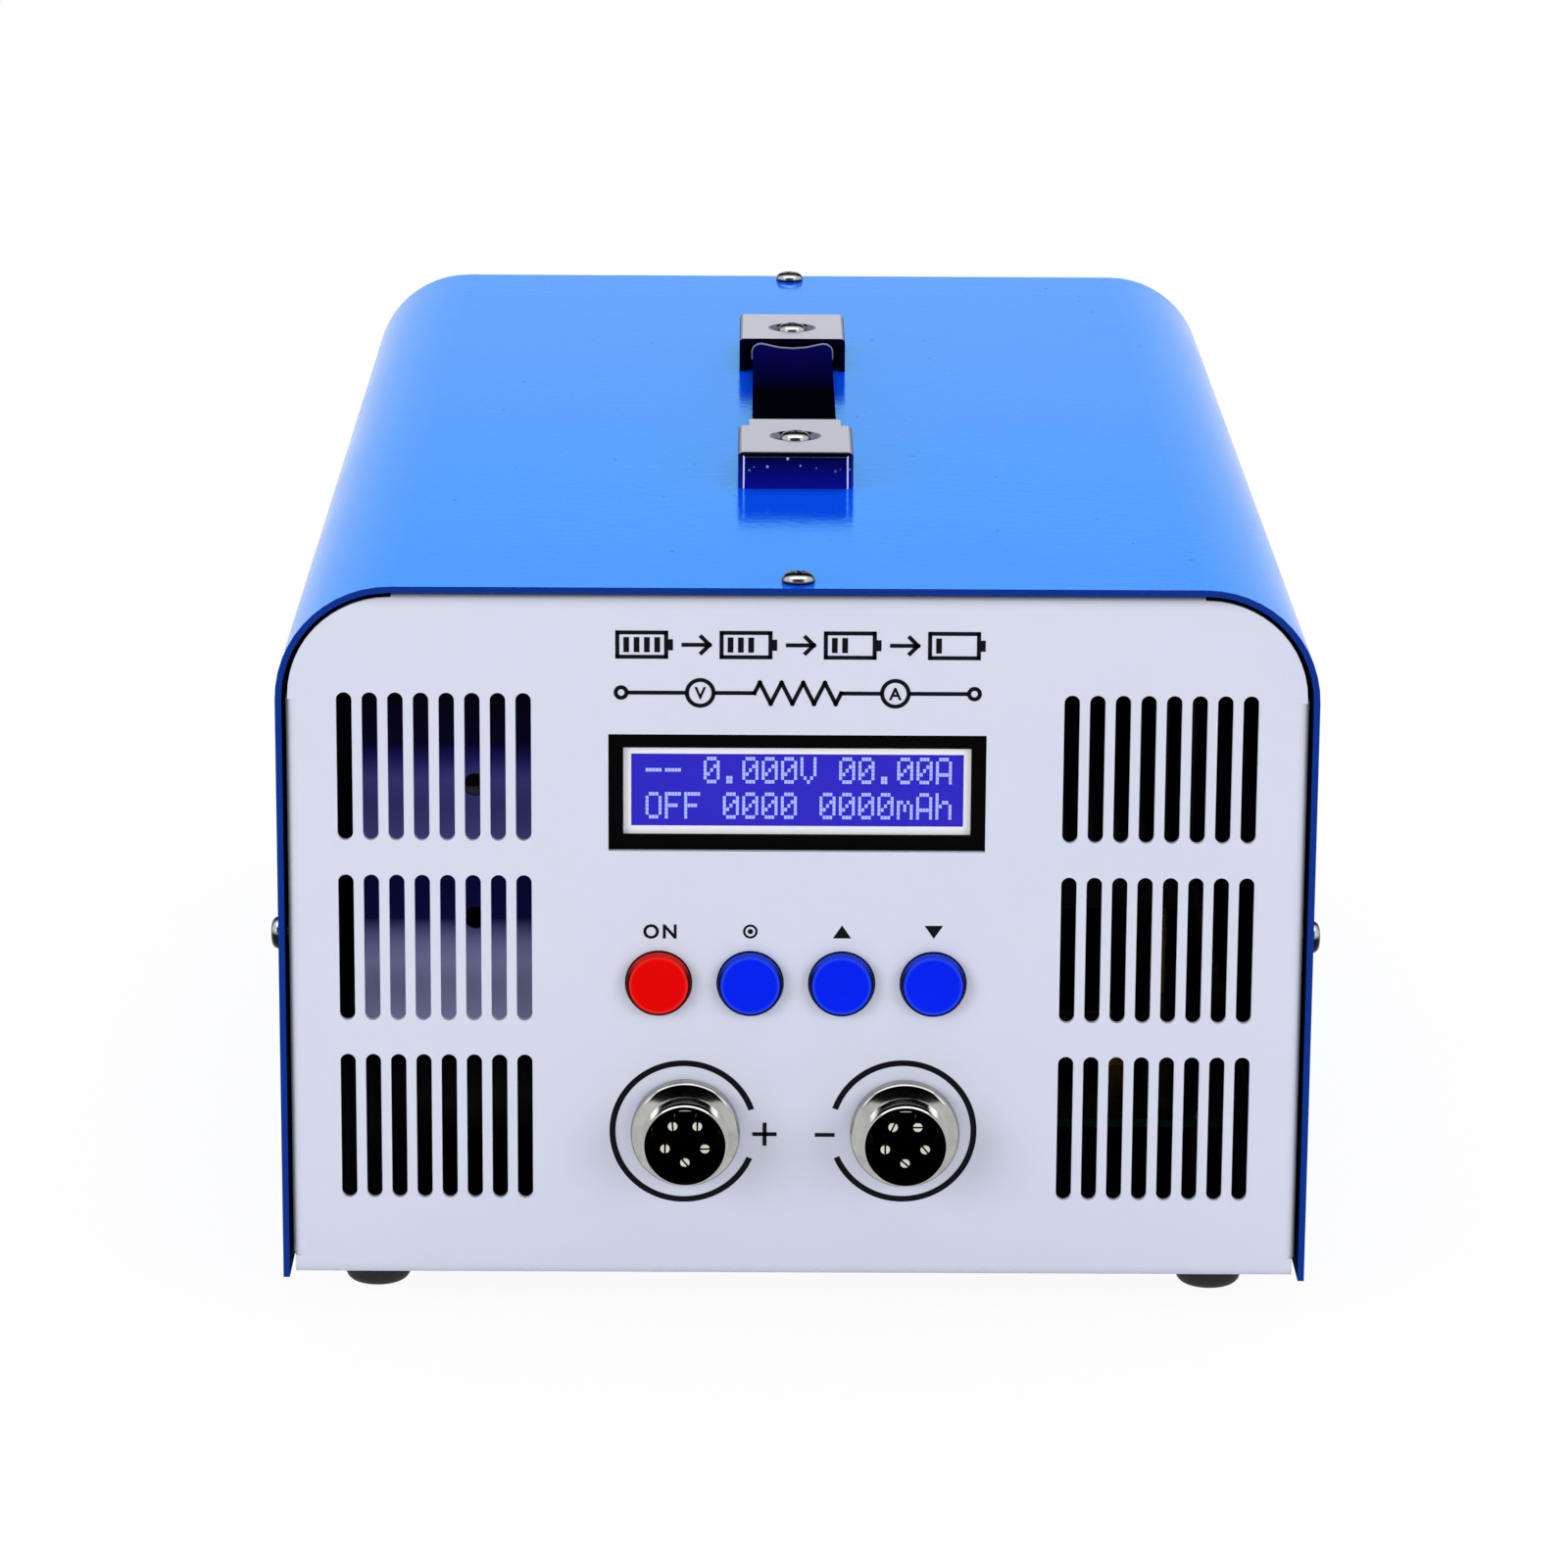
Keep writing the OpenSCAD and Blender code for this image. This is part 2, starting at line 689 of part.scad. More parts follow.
// Front panel, floor and rear panel folded from one sheet, with the weld studs
module chassis() {
    color("#e4e6f2") case_frame() {
        difference() {
            union() {
                slab(-fold_w / 2, fold_w) bent_outline(true);
                translate([0, 0, fold_z0]) linear_extrude(fold_z1 - fold_z0) flange_outline();
                difference() {
                    intersection() {
                        slab(-cut_w / 2, cut_w) bent_outline(false);
                        plate(0, case_l) arch(cut_w, cut_h, cut_r);
                    }
                    box(-case_w, case_w, -1, case_l + 1, fold_z0, fold_z1);
                    box(-fold_w / 2, fold_w / 2, -1, case_l + 1, fold_z1, case_h);
                }
            }
            plate(panel_inset - 1, sheet_t + 2) front_cuts();
            plate(rear_in_y - 1, sheet_t + 2) rear_cuts();
            each_cover_screw() translate([0, 0, -8]) cylinder(h = 9, r = screw_hole_r);
            each_foot() translate([0, 0, -1]) cylinder(h = sheet_t + 2, r = screw_hole_r);
            each_board_hole() translate([0, 0, -1]) cylinder(h = sheet_t + 2, r = screw_hole_r);
        }
        each_stud() rod(inner_y - eps, control_y + pcb_t + nut_h + 1 - inner_y, stud_r);
    }
}

// Painted wrap-round cover
module cover() {
    side = case_h + skirt;
    color("#3f8df0") case_frame() difference() {
        plate(0, case_l) translate([0, -skirt]) difference() {
            arch(case_w, side, corner_r);
            translate([0, -1]) arch(case_w - 2 * cover_t, side + 1 - cover_t, corner_r - cover_t);
        }
        each_cover_screw() translate([0, 0, -cover_t - 1]) cylinder(h = cover_t + 2, r = cover_hole_r);
        for (y = [handle_screw_y0, handle_screw_y1])
            translate([0, y, case_h - cover_t - 1]) cylinder(h = cover_t + 2, r = handle_bore_r);
    }
}

module cover_screws() {
    color("silver") case_frame() each_cover_screw()
        pan_screw(screw_r, cover_t + cover_gap + sheet_t + 3, screw_head_r, screw_head_h);
}

// Rubber feet with a sunk screw
module feet() {
    r = foot_d / 2;
    edge = (foot_d - sole_d) / 2;
    color("#141416") case_frame() each_foot() translate([0, 0, -foot_h]) difference() {
        rotate_extrude() {
            square([sole_d / 2, foot_h]);
            translate([0, edge]) square([r, foot_h - edge]);
            translate([sole_d / 2, edge]) intersection() {
                circle(edge);
                translate([0, -edge]) square([edge, edge]);
            }
        }
        translate([0, 0, -1]) cylinder(h = foot_recess_h + 1, r = foot_recess_r);
        cylinder(h = foot_h + 1, r = screw_hole_r);
    }
}

module foot_screws() {
    color("silver") case_frame() each_foot() translate([0, 0, -foot_floor]) mirror([0, 0, 1])
        pan_screw(screw_r, foot_floor + sheet_t + nut_h + 1, small_head_r, screw_head_h);
}

// Folded steel end cap: its closed end is at Y = 0 and its mouth is at the end of its walls
module handle_cap(wall_l) {
    in_w = cap_w - 2 * cap_t;
    difference() {
        intersection() {
            linear_extrude(cap_h) {
                translate([-cap_w / 2 + cap_edge_r, 0]) square([cap_w - 2 * cap_edge_r, wall_l]);
                translate([-cap_w / 2, cap_edge_r]) square([cap_w, wall_l - cap_edge_r]);
                for (s = [-1, 1]) translate([s * (cap_w / 2 - cap_edge_r), cap_edge_r]) circle(cap_edge_r);
            }
            plate(0, wall_l) cap_fold(cap_w);
            slab(-cap_w, 2 * cap_w) translate([wall_l, 0]) cap_fold(2 * wall_l);
        }
        translate([-in_w / 2, cap_t, -1]) cube([in_w, cap_l, cap_h - cap_t + 1]);
        translate([0, cap_l / 2, cap_h]) dimple();
        translate([0, cap_l / 2, 0]) cylinder(h = cap_h, r = handle_bore_r);
    }
    // pressed seat of the dimple, which carries the screw's head
    difference() {
        translate([0, cap_l / 2, cap_h - cap_t - dimple_d])
            cylinder(h = dimple_d, r1 = dimple_floor_r + 0.8, r2 = dimple_r + 0.6);
        translate([0, cap_l / 2, cap_h]) dimple();
        translate([0, cap_l / 2, 0]) cylinder(h = cap_h, r = handle_bore_r);
    }
}
// What the folds at a cap's top leave of its height, over a given width
module cap_fold(w) {
    translate([-w / 2, 0]) square([w, cap_h - cap_fold_r]);
    translate([-w / 2 + cap_fold_r, 0]) square([w - 2 * cap_fold_r, cap_h]);
    for (s = [-1, 1]) translate([s * (w / 2 - cap_fold_r), cap_h - cap_fold_r]) circle(cap_fold_r);
}
module dimple() {
    translate([0, 0, -dimple_d]) cylinder(h = dimple_d, r1 = dimple_floor_r, r2 = dimple_r);
    translate([0, 0, -eps]) cylinder(h = 1, r = dimple_r);
}

module handle_cap_front() {
    root = 1.2;
    color("#d6d6da") case_frame() translate([0, handle_y0, case_h]) {
        handle_cap(cap_l - tongue_l);
        translate([0, cap_l - (tongue_l + root) / 2, cap_h - cap_t]) linear_extrude(cap_t)
            round_rect(tongue_w, tongue_l + root, 1);
    }
}
module handle_cap_rear() {
    color("#d6d6da") case_frame() translate([0, handle_y1, case_h]) rotate([0, 0, 180])
        handle_cap(rear_cap_l);
}
module handle_screws() {
    l = cap_h - dimple_d + cover_t + handle_nut_h + 2.4;
    color("silver") case_frame() for (y = [handle_screw_y0, handle_screw_y1])
        translate([0, y, case_h + cap_h - dimple_d])
            pan_screw(handle_screw_d / 2, l, screw_head_r, handle_head_h);
}
module handle_nuts() {
    color("silver") case_frame() for (y = [handle_screw_y0, handle_screw_y1])
        translate([0, y, case_h - cover_t - handle_nut_h])
            hex_nut(handle_nut_af, handle_nut_h, handle_bore_r);
}

// The flexible strap as two links between two flat ends, bending at rounded knuckles.
// Both ends are slotted: the rear one slides on its screw as the strap is lifted.
module strap_section() {
    round_rect(strap_w, strap_t, strap_edge_r);
}
module strap_link(y0, y1) {
    translate([0, 0, hinge_z]) plate(y0, y1 - y0) strap_section();
}
module knuckle(y) {
    translate([-strap_w / 2, y, hinge_z]) rotate([0, 90, 0]) cylinder(h = strap_w, r = strap_t / 2);
}
// One end, in the cap's frame: flat and slotted under the screw, full at the mouth
module strap_end() {
    slot_r = handle_bore_r + 0.2;
    y0 = cap_l / 2 - end_slot - slot_r - 2;
    y1 = cap_l - tongue_l + 1;
    difference() {
        union() {
            translate([-end_w / 2, y0, end_z]) cube([end_w, y1 - y0, end_t]);
            translate([0, 0, strap_lift + strap_t / 2])
                plate(y1 - 1, cap_l + mouth_gap - knuckle_gap - y1 + 1) strap_section();
        }
        for (y = [0, end_slot]) translate([0, cap_l / 2 - y, -1]) cylinder(h = cap_h + 2, r = slot_r);
        translate([-slot_r, cap_l / 2 - end_slot, -1]) cube([2 * slot_r, end_slot, cap_h + 2]);
    }
}
module strap_end_front() {
    color("#111113") case_frame() translate([0, handle_y0, case_h]) strap_end();
}
module strap_link_front() {
    color("#111113") case_frame() {
        strap_link(hinge_y0, hinge_mid);
        for (y = [hinge_y0, hinge_mid]) knuckle(y);
    }
}
module strap_link_rear() {
    color("#111113") case_frame() {
        strap_link(hinge_mid + knuckle_gap, hinge_y1);
        knuckle(hinge_y1);
    }
}
module strap_end_rear() {
    color("#111113") case_frame() translate([0, handle_y1, case_h]) rotate([0, 0, 180]) strap_end();
}

// Character display
module display_frame() {
    color("#0b0b0d") case_frame() translate([0, 0, window_z]) difference() {
        plate(bezel_y, bezel_d) square([bezel_w, bezel_h], center = true);
        plate(bezel_y - 1, bezel_d + 2) square([view_w, view_h], center = true);
        plate(glass_y, bezel_d) square([bezel_w - 2 * bezel_t, bezel_h - 2 * bezel_t], center = true);
    }
}
module display_glass() {
    inset = 2 * (bezel_t + seat);
    color("#3e36ee") case_frame() translate([0, 0, window_z])
        plate(glass_y + seat, bezel_d - bezel_t - 2 * seat)
            square([bezel_w - inset, bezel_h - inset], center = true);
}
module display_board() {
    color("#123b1c") case_frame() difference() {
        translate([0, 0, window_z]) plate(lcd_board_y, pcb_t) round_rect(lcd_board_w, lcd_board_h, 1);
        each_lcd_hole() rod(0, lcd_board_y + pcb_t + 1, 1.3);
    }
}
module display_spacers() {
    color("#e8e4d8") case_frame() each_lcd_hole() difference() {
        rod(lcd_board_y + pcb_t, lcd_stack, spacer_r);
        rod(lcd_board_y, lcd_stack + 3, 1.3);
    }
}
module display_screws() {
    color("silver") case_frame() each_lcd_hole() translate([0, lcd_board_y, 0]) rotate([90, 0, 0])
        pan_screw(1.25, pcb_t * 2 + lcd_stack + 2, 2.1, 1.5);
}

// Control board on the weld studs, with the four push switches
module control_board() {
    color("#0e3318") case_frame() difference() {
        plate(control_y, pcb_t) translate([0, (control_top + control_bottom) / 2])
            round_rect(control_w, control_top - control_bottom, 2);
        each_stud() rod(0, control_y + pcb_t + 1, screw_hole_r);
        each_lcd_hole() rod(0, control_y + pcb_t + 1, 1.3);
    }
}
module control_spacers() {
    color("#e8e4d8") case_frame() each_stud() difference() {
        rod(inner_y, control_y - inner_y, 3);
        rod(0, control_y + 1, screw_hole_r);
    }
}
// Nuts on the weld studs and on the feet's screws
module small_nuts() {
    color("silver") case_frame() {
        each_stud() translate([0, control_y + pcb_t, 0]) rotate([-90, 0, 0])
            hex_nut(nut_af, nut_h, screw_hole_r);
        each_foot() translate([0, 0, sheet_t]) hex_nut(nut_af, nut_h, screw_hole_r);
    }
}
// Flat cable that drops from the control board and runs along to the load board
module control_cable() {
    top = control_bottom + 12;
    foot = 0.6;
    low = board_top + foot;
    root = control_y + pcb_t;
    back = root + 1.2;
    end = board_front + 6;
    r = cable_bend_r;
    t = cable_t;
    color("#8b8d94") case_frame() slab(-cable_w / 2, cable_w) {
        translate([root, top]) square([back - root + t, t]);
        translate([back, low + r]) square([t, top - low - r + eps]);
        translate([back + r, low + r]) difference() {
            circle(r);
            circle(r - t);
            translate([0, -2 * r]) square([2 * r, 4 * r]);
            translate([-2 * r, 0]) square([4 * r, 2 * r]);
        }
        translate([back + r - eps, low]) square([end - back - r, t]);
        translate([end - 1, board_top]) square([1, foot + eps]);
    }
}
module switch_bodies() {
    color("#1a1a1c") case_frame() each_button() difference() {
        plate(control_y - switch_h, switch_h) round_rect(switch_w, switch_w, 0.8);
        rod(control_y - switch_h - 1, 1 + plunger_sink + button_travel + 0.3, plunger_d / 2 + 0.15);
    }
}

// Round button: a hollow cap with a rounded rim, on the plunger of its switch
module button(i, tint) {
    face_y = panel_inset - button_proud;
    rim = (button_d - button_face_d) / 2;
    h = button_back - face_y;
    color(tint) case_frame() translate([button_place(i), face_y, button_z]) rotate([-90, 0, 0]) {
        rotate_extrude() {
            difference() {
                union() {
                    square([button_face_d / 2, h]);
                    translate([0, rim]) square([button_d / 2, h - rim]);
                    translate([button_face_d / 2, rim]) circle(rim);
                }
                translate([-button_d, -1]) square([button_d, h + 2]);
                translate([plunger_d / 2, rim + cap_wall])
                    square([(button_d - plunger_d) / 2 - cap_wall, h]);
            }
            translate([0, h - 1])
                square([plunger_d / 2, control_y - switch_h + plunger_sink - button_back + 1]);
        }
    }
}
module button_on() { button(0, "#d80502"); }
module button_set() { button(1, "#0c2cec"); }
module button_up() { button(2, "#0c2cec"); }
module button_down() { button(3, "#0c2cec"); }

// Round panel sockets with a threaded shell, s = -1 on the left and 1 on the right
module socket_place(s) {
    case_frame() translate([s * socket_x, 0, socket_z]) children();
}
module socket_shell(s) {
    r = shell_d / 2;
    fr = socket_flange_d / 2;
    step = 0.9;
    color("#cfd0d4") socket_place(s) translate([0, rim_y, 0]) rotate([-90, 0, 0]) {
        rotate_extrude() difference() {
            polygon([[mouth_d / 2 - 1.1, 0.5], [mouth_d / 2, 0], [r - 0.5, 0], [r, 0.5],
                [r, socket_proud - socket_flange_t - 0.6], [fr - step, socket_proud - socket_flange_t],
                [fr, socket_proud - socket_flange_t + step], [fr, socket_proud],
                [thread_root_r, socket_proud], [thread_root_r, shell_end - rim_y],
                [mouth_d / 2 - 1.1, shell_end - rim_y]]);
            translate([0, -1]) square([mouth_d / 2, mouth_depth + 1]);
        }
        // key inside the mouth
        translate([-1.2, -mouth_d / 2 - 0.2, 0.8]) cube([2.4, 1, mouth_depth - 0.8]);
    }
}
module socket_insert(s) {
    r = mouth_d / 2 - 1.1 - seat;
    color("#0d0d0f") socket_place(s) difference() {
        union() {
            rod(insert_y, insert_end - insert_y, r);
            rod(shell_end + seat, insert_end - shell_end - seat, r + 0.9);
        }
        each_pin() rod(insert_y - 1, insert_end - insert_y + 2, pin_d / 2 + 0.02);
    }
}
module each_pin() {
    for (k = [0 : pin_count - 1])
        rotate([0, 90 + 360 * k / pin_count, 0]) translate([pin_circle_r, 0, 0]) children();
}
module socket_pins(s) {
    l = insert_end - rim_y - pin_setback;
    color("#d8c48a") socket_place(s) each_pin() {
        translate([0, rim_y + pin_setback, 0]) rotate([-90, 0, 0]) {
            cylinder(h = 0.5, r1 = pin_d / 2 - 0.4, r2 = pin_d / 2);
            translate([0, 0, 0.5]) cylinder(h = l - 0.5, r = pin_d / 2);
        }
        difference() {
            rod(insert_end, cup_l, pin_d / 2 + 0.2);
            rod(insert_end + 1.5, cup_l, pin_d / 2 - 0.3);
        }
    }
}
// Washer and nut that clamp each shell from behind the panel
module socket_nuts() {
    color("#b9babd") for (s = [-1, 1]) socket_place(s) {
        difference() {
            rod(inner_y, washer_t, socket_nut_af / 2 + 1);
            rod(0, inner_y + 3, shell_d / 2);
        }
        translate([0, inner_y + washer_t, 0]) rotate([-90, 0, 0])
            hex_nut(socket_nut_af, socket_nut_t, shell_d / 2 - 0.1);
    }
}
module socket_shell_positive() { socket_shell(-1); }
module socket_insert_positive() { socket_insert(-1); }
module socket_pins_positive() { socket_pins(-1); }
module socket_shell_negative() { socket_shell(1); }
module socket_insert_negative() { socket_insert(1); }
module socket_pins_negative() { socket_pins(1); }

// Power leads from the solder cups to the brass terminals on the load board
module lead(s, tint) {
    start = [s * socket_x, insert_end + cup_l + 0.1, socket_z];
    finish = [s * socket_x, terminal_y - terminal_w / 2 - 0.1, board_top + terminal_h / 2];
    pull = (finish[1] - start[1]) / 2;
    color(tint) case_frame() {
        wire(start, start + [0, pull, 0], finish - [0, pull, 0], finish, lead_d / 2);
    }
}
module lead_positive() { lead(-1, "#c01515"); }
module lead_negative() { lead(1, "#161618"); }
// Mains wires from the inlet's tabs to the power supply, and its output wires to the load board
module supply_wires() {
    tab_y = rear_y - inlet_d - tab_l - seat;
    psu_end = psu_back + psu_lip + seat;
    color("#7a2f22") case_frame() {
        for (k = [0, 1]) {
            tab = [-inlet_x + live_x * (2 * k - 1), tab_y, plug_z + live_z];
            clamp = [-psu_x, psu_end, psu_z + clamp_z + clamp_pitch * (k + 0.5)];
            wire(tab, tab - [0, mains_reach, 0], clamp + [0, mains_bow, 0], clamp, wire_r);
        }
        for (k = [0, 1]) {
            clamp = [-psu_x, psu_end, psu_z + clamp_z + clamp_pitch * (k + 3.5)];
            pad = [board_left + pad_edge + pad_pitch * k, pad_y, board_top + seat];
            wire(clamp, clamp + [0, output_bow, 0], pad + [0, 0, output_rise], pad, wire_r);
        }
    }
}
module power_terminals() {
    color("#c9a24a") case_frame() for (s = [-1, 1])
        translate([s * socket_x, terminal_y, board_top]) difference() {
            translate([-terminal_w / 2, -terminal_w / 2, 0]) cube([terminal_w, terminal_w, terminal_h]);
            translate([0, 0, terminal_h - 5]) cylinder(h = 6, r = 2.2);
        }
}

// Load board on pillars, with what stands on it
module load_board() {
    color("#0f3a1b") case_frame() difference() {
        translate([(board_left + board_right) / 2, (board_front + board_back) / 2, board_z])
            linear_extrude(pcb_t) round_rect(board_w, board_l, 2);
        each_board_hole() translate([0, 0, board_z - 1]) cylinder(h = pcb_t + 2, r = screw_hole_r);
        each_sink_hole() translate([0, 0, board_z - 1]) cylinder(h = pcb_t + 2, r = screw_hole_r);
    }
}
module board_pillars() {
    color("#c9a24a") case_frame() each_board_hole() translate([0, 0, floor_top])
        hex_nut(nut_af, pillar_h, screw_hole_r);
}
module board_screws() {
    color("silver") case_frame() each_board_hole() translate([0, 0, board_top])
        pan_screw(screw_r, board_top, small_head_r, screw_head_h);
}
module heatsink() {
    color("#1c1d20") case_frame() difference() {
        plate(sink_y0, sink_l) {
            translate([sink_x0, sink_z]) square([sink_w, sink_base_t]);
            for (i = [0 : fin_count - 1]) translate([sink_x0 + i * fin_pitch, sink_z]) {
                square([fin_t, sink_base_t + fin_h]);
            }
        }
        each_sink_hole() translate([0, 0, sink_z - 1]) cylinder(h = 5, r = screw_hole_r);
    }
}
module sink_pillars() {
    color("#c9a24a") case_frame() each_sink_hole() {
        translate([0, 0, board_top]) cylinder(h = sink_lift, r = 3.2, $fn = 6);
        translate([0, 0, board_z - 1.8]) cylinder(h = pcb_t + 2, r = screw_r);
        translate([0, 0, sink_z - 0.2]) cylinder(h = 3.7, r = screw_r);
    }
}
module transistors() {
    end = transistor_l / 2;
    color("#151517") case_frame() for (i = [0 : transistor_count - 1], a = [0, 180])
        translate([fan_x, sink_y0 + transistor_edge + (i + 0.5) * transistor_pitch, sink_z - transistor_t])
            rotate([0, 0, a]) translate([17, 0, 0]) {
                translate([-end, -transistor_w / 2, 0]) cube([transistor_l, transistor_w, transistor_t]);
                // three legs bent down to the board
                for (k = [-1, 0, 1]) translate([0, k * leg_pitch - leg_w / 2, 0]) {
                    box(end - eps, end + leg_reach, 0, leg_w, leg_z, leg_z + leg_t);
                    box(end + leg_reach - leg_t, end + leg_reach, 0, leg_w,
                        transistor_t - sink_lift, leg_z + leg_t);
                }
            }
}
module capacitors() {
    r = capacitor_d / 2;
    color("#20242e") case_frame() for (i = [0 : 3])
        translate([board_left + capacitor_edge, capacitor_y(i), board_top]) {
            cylinder(h = capacitor_h, r = r);
            translate([0, 0, capacitor_h - eps])
                cylinder(h = capacitor_crimp, r1 = r, r2 = r - capacitor_crimp);
        }
}
module current_shunt() {
    y = (board_front + sink_y0) / 2 + 6;
    inner = (shunt_l - shunt_foot) / 2 - shunt_t;
    color("#b07f4a") case_frame() translate([fan_x + shunt_shift, y, board_top]) {
        for (k = [-1, 0, 1]) plate(k * shunt_pitch - shunt_strip / 2, shunt_strip) difference() {
            translate([(shunt_foot - shunt_l) / 2, 0]) square([shunt_l - shunt_foot, shunt_h]);
            translate([-inner, -1]) square([2 * inner, shunt_h + 1 - shunt_t]);
        }
        for (s = [-1, 1]) translate([s * (shunt_l - shunt_foot) / 2, 0, shunt_pad_t / 2])
            cube([shunt_foot, shunt_w, shunt_pad_t], center = true);
    }
}

// Slim power supply on its edge
module psu_case() {
    color("#a9abb3") case_frame() difference() {
        union() {
            box(psu_right - psu_t, psu_right, psu_y, psu_back, psu_z, psu_z + psu_h);
            box(psu_left, psu_right, psu_y, psu_y + psu_t, psu_z, psu_z + psu_h);
            for (z = [psu_z, psu_z + psu_h - psu_t])
                box(psu_right - psu_fold, psu_right, psu_y, psu_back, z, z + psu_t);
        }
        for (z = [0, psu_hole_pitch]) translate([psu_right - psu_hole_side, 0, psu_z + psu_hole_z + z])
            rod(psu_y - 1, psu_t + 2, psu_hole_r);
    }
}
module psu_cover() {
    gap = 0.1;
    top = psu_z + psu_h;
    rows = floor((psu_h - 2 * vent_inset_z) / vent_pitch);
    columns = floor((psu_l - 2 * vent_inset_y) / vent_pitch);
    color("#b4b6bd") case_frame() difference() {
        union() {
            box(psu_left, psu_left + psu_t, psu_y + psu_t + gap, psu_back, psu_z, top);
            for (z = [psu_z, top - psu_t])
                box(psu_left, psu_right - psu_fold - gap, psu_y + psu_t + gap, psu_back, z, z + psu_t);
        }
        for (i = [0 : 2 : columns], k = [0 : 2 : rows])
            translate([psu_left - 1, psu_y + vent_inset_y + i * vent_pitch,
                psu_z + vent_inset_z + k * vent_pitch])
                    rotate([0, 90, 0]) cylinder(h = psu_t + 2, r = vent_r);
    }
}
module psu_terminals() {
    color("#18181a") case_frame() difference() {
        box(psu_left + psu_t + 0.1, psu_right - psu_t, psu_back - block_l, psu_back + psu_lip,
            psu_z + clamp_z - block_rim, psu_z + clamp_z + clamp_count * clamp_pitch + 1);
        for (i = [0 : clamp_count - 1]) translate([0, 0, psu_z + clamp_z + i * clamp_pitch])
            box(psu_left + clamp_side, psu_right - clamp_side, psu_back - clamp_depth,
                psu_back + psu_lip + 1, 0, clamp_w);
    }
}
module psu_bracket() {
    y0 = psu_y + bracket_end;
    y1 = psu_back - bracket_end;
    x0 = psu_right;
    color("#c4c6cc") case_frame() difference() {
        union() {
            box(x0, x0 + bracket_t, y0, y1, floor_top, psu_z + psu_h - bracket_end);
            box(x0, x0 + bracket_foot, y0, y1, floor_top, floor_top + bracket_t);
        }
        for (k = [0.22, 0.78])
            translate([x0 - 1, y0 + k * (y1 - y0), psu_z - bracket_hole_drop]) rotate([0, 90, 0])
                cylinder(h = bracket_t + 2, r = bracket_hole_r);
    }
}

// Axial fan that blows out through the rear panel
module fan_frame() {
    hub_r = hub_d / 2 + 0.5;
    strut_y = fan_y + fan_d - motor_t;
    color("#17181a") case_frame() translate([fan_x, 0, fan_z]) {
        difference() {
            union() {
                for (y = [fan_y, fan_y + fan_d - fan_flange_t])
                    plate(y, fan_flange_t) round_rect(fan_size, fan_size, 4);
                plate(fan_y, fan_d) intersection() {
                    circle(fan_shell_r);
                    square(fan_size, center = true);
                }
            }
            rod(fan_y - 1, fan_d + 2, fan_bore_d / 2);
            for (x = [-1, 1], z = [-1, 1]) translate([x * fan_screw_pitch / 2, 0, z * fan_screw_pitch / 2])
                rod(fan_y - 1, fan_d + 2, fan_hole_r);
        }
        // motor seat on four struts, with the bearing tube
        difference() {
            union() {
                rod(strut_y, motor_t, hub_r);
                for (a = [20 : 90 : 359]) rotate([0, a, 0]) plate(strut_y, motor_t)
                    translate([hub_r - 1, -1.6]) square([fan_bore_d / 2 - hub_r + 1.4, 3.2]);
                rod(strut_y - 11, 12, 4);
                rod(strut_y - 9, 10, hub_d / 2 - 3.5);
            }
            rod(strut_y - 12, motor_t + 11, shaft_r + shaft_gap);
        }
    }
}

// Rotor: a cup over the motor, swept blades and the shaft
module fan_rotor() {
    cup_r = hub_d / 2;
    color("#1e2023") case_frame() translate([fan_x, rotor_y, fan_z]) rotate([-90, 0, 0]) {
        rotate_extrude() {
            square([shaft_r, rotor_l + 0.6]);
            translate([0, 0.8]) square([cup_r, 1.6]);
            square([cup_r - 0.8, 1.6]);
            translate([cup_r - 0.8, 0.8]) circle(0.8);
            translate([cup_r - 1.6, 0.8]) square([1.6, rotor_l - 0.8]);
        }
        for (i = [0 : blade_count - 1]) rotate([0, 0, i * 360 / blade_count]) translate([0, 0, 1.5])
            linear_extrude(height = blade_span, twist = blade_twist, slices = 6, $fn = 13)
                blade_outline(cup_r - 0.8, blade_r);
    }
}
// Crescent between the hub and the tip, swept back like a fan blade seen along its axis
module blade_outline(r0, r1) {
    steps = 6;
    function turn(t, a) = blade_sweep * t * t + a;
    function edge(t, a) = (r0 + (r1 - r0) * t) * [cos(turn(t, a)), sin(turn(t, a))];
    leading = [for (i = [0 : steps]) edge(i / steps, 0)];
    trailing = [for (i = [steps : -1 : 0]) edge(i / steps, blade_arc)];
    polygon(concat(leading, trailing));
}

// Wire finger guard: rings on four arms that end in eyes under the fan's screws
module fan_guard() {
    w = guard_wire_d / 2;
    arm = fan_screw_pitch / sqrt(2);
    color("#c8cacf") case_frame() translate([fan_x, 0, fan_z]) {
        for (i = [0 : guard_rings - 1]) translate([0, guard_y + w, 0]) rotate([-90, 0, 0])
            rotate_extrude() translate([guard_hub_r + i * guard_pitch, 0]) circle(w, $fn = 16);
        for (a = [45 : 90 : 359]) rotate([0, a, 0]) translate([0, rear_y + w, 0]) {
            translate([guard_hub_r, 0, 0]) rotate([0, 90, 0])
                cylinder(h = arm - eye_r - guard_hub_r, r = w, $fn = 16);
            translate([arm, 0, 0]) rotate([-90, 0, 0])
                rotate_extrude() translate([eye_r, 0]) circle(w, $fn = 16);
        }
    }
}
module fan_screws() {
    color("#2a2b2e") case_frame() each_fan_screw()
        translate([0, rear_y + guard_wire_d, 0]) rotate([-90, 0, 0])
            pan_screw(fan_hole_r - 0.1, guard_wire_d + sheet_t + 9, fan_head_r, fan_head_h);
}

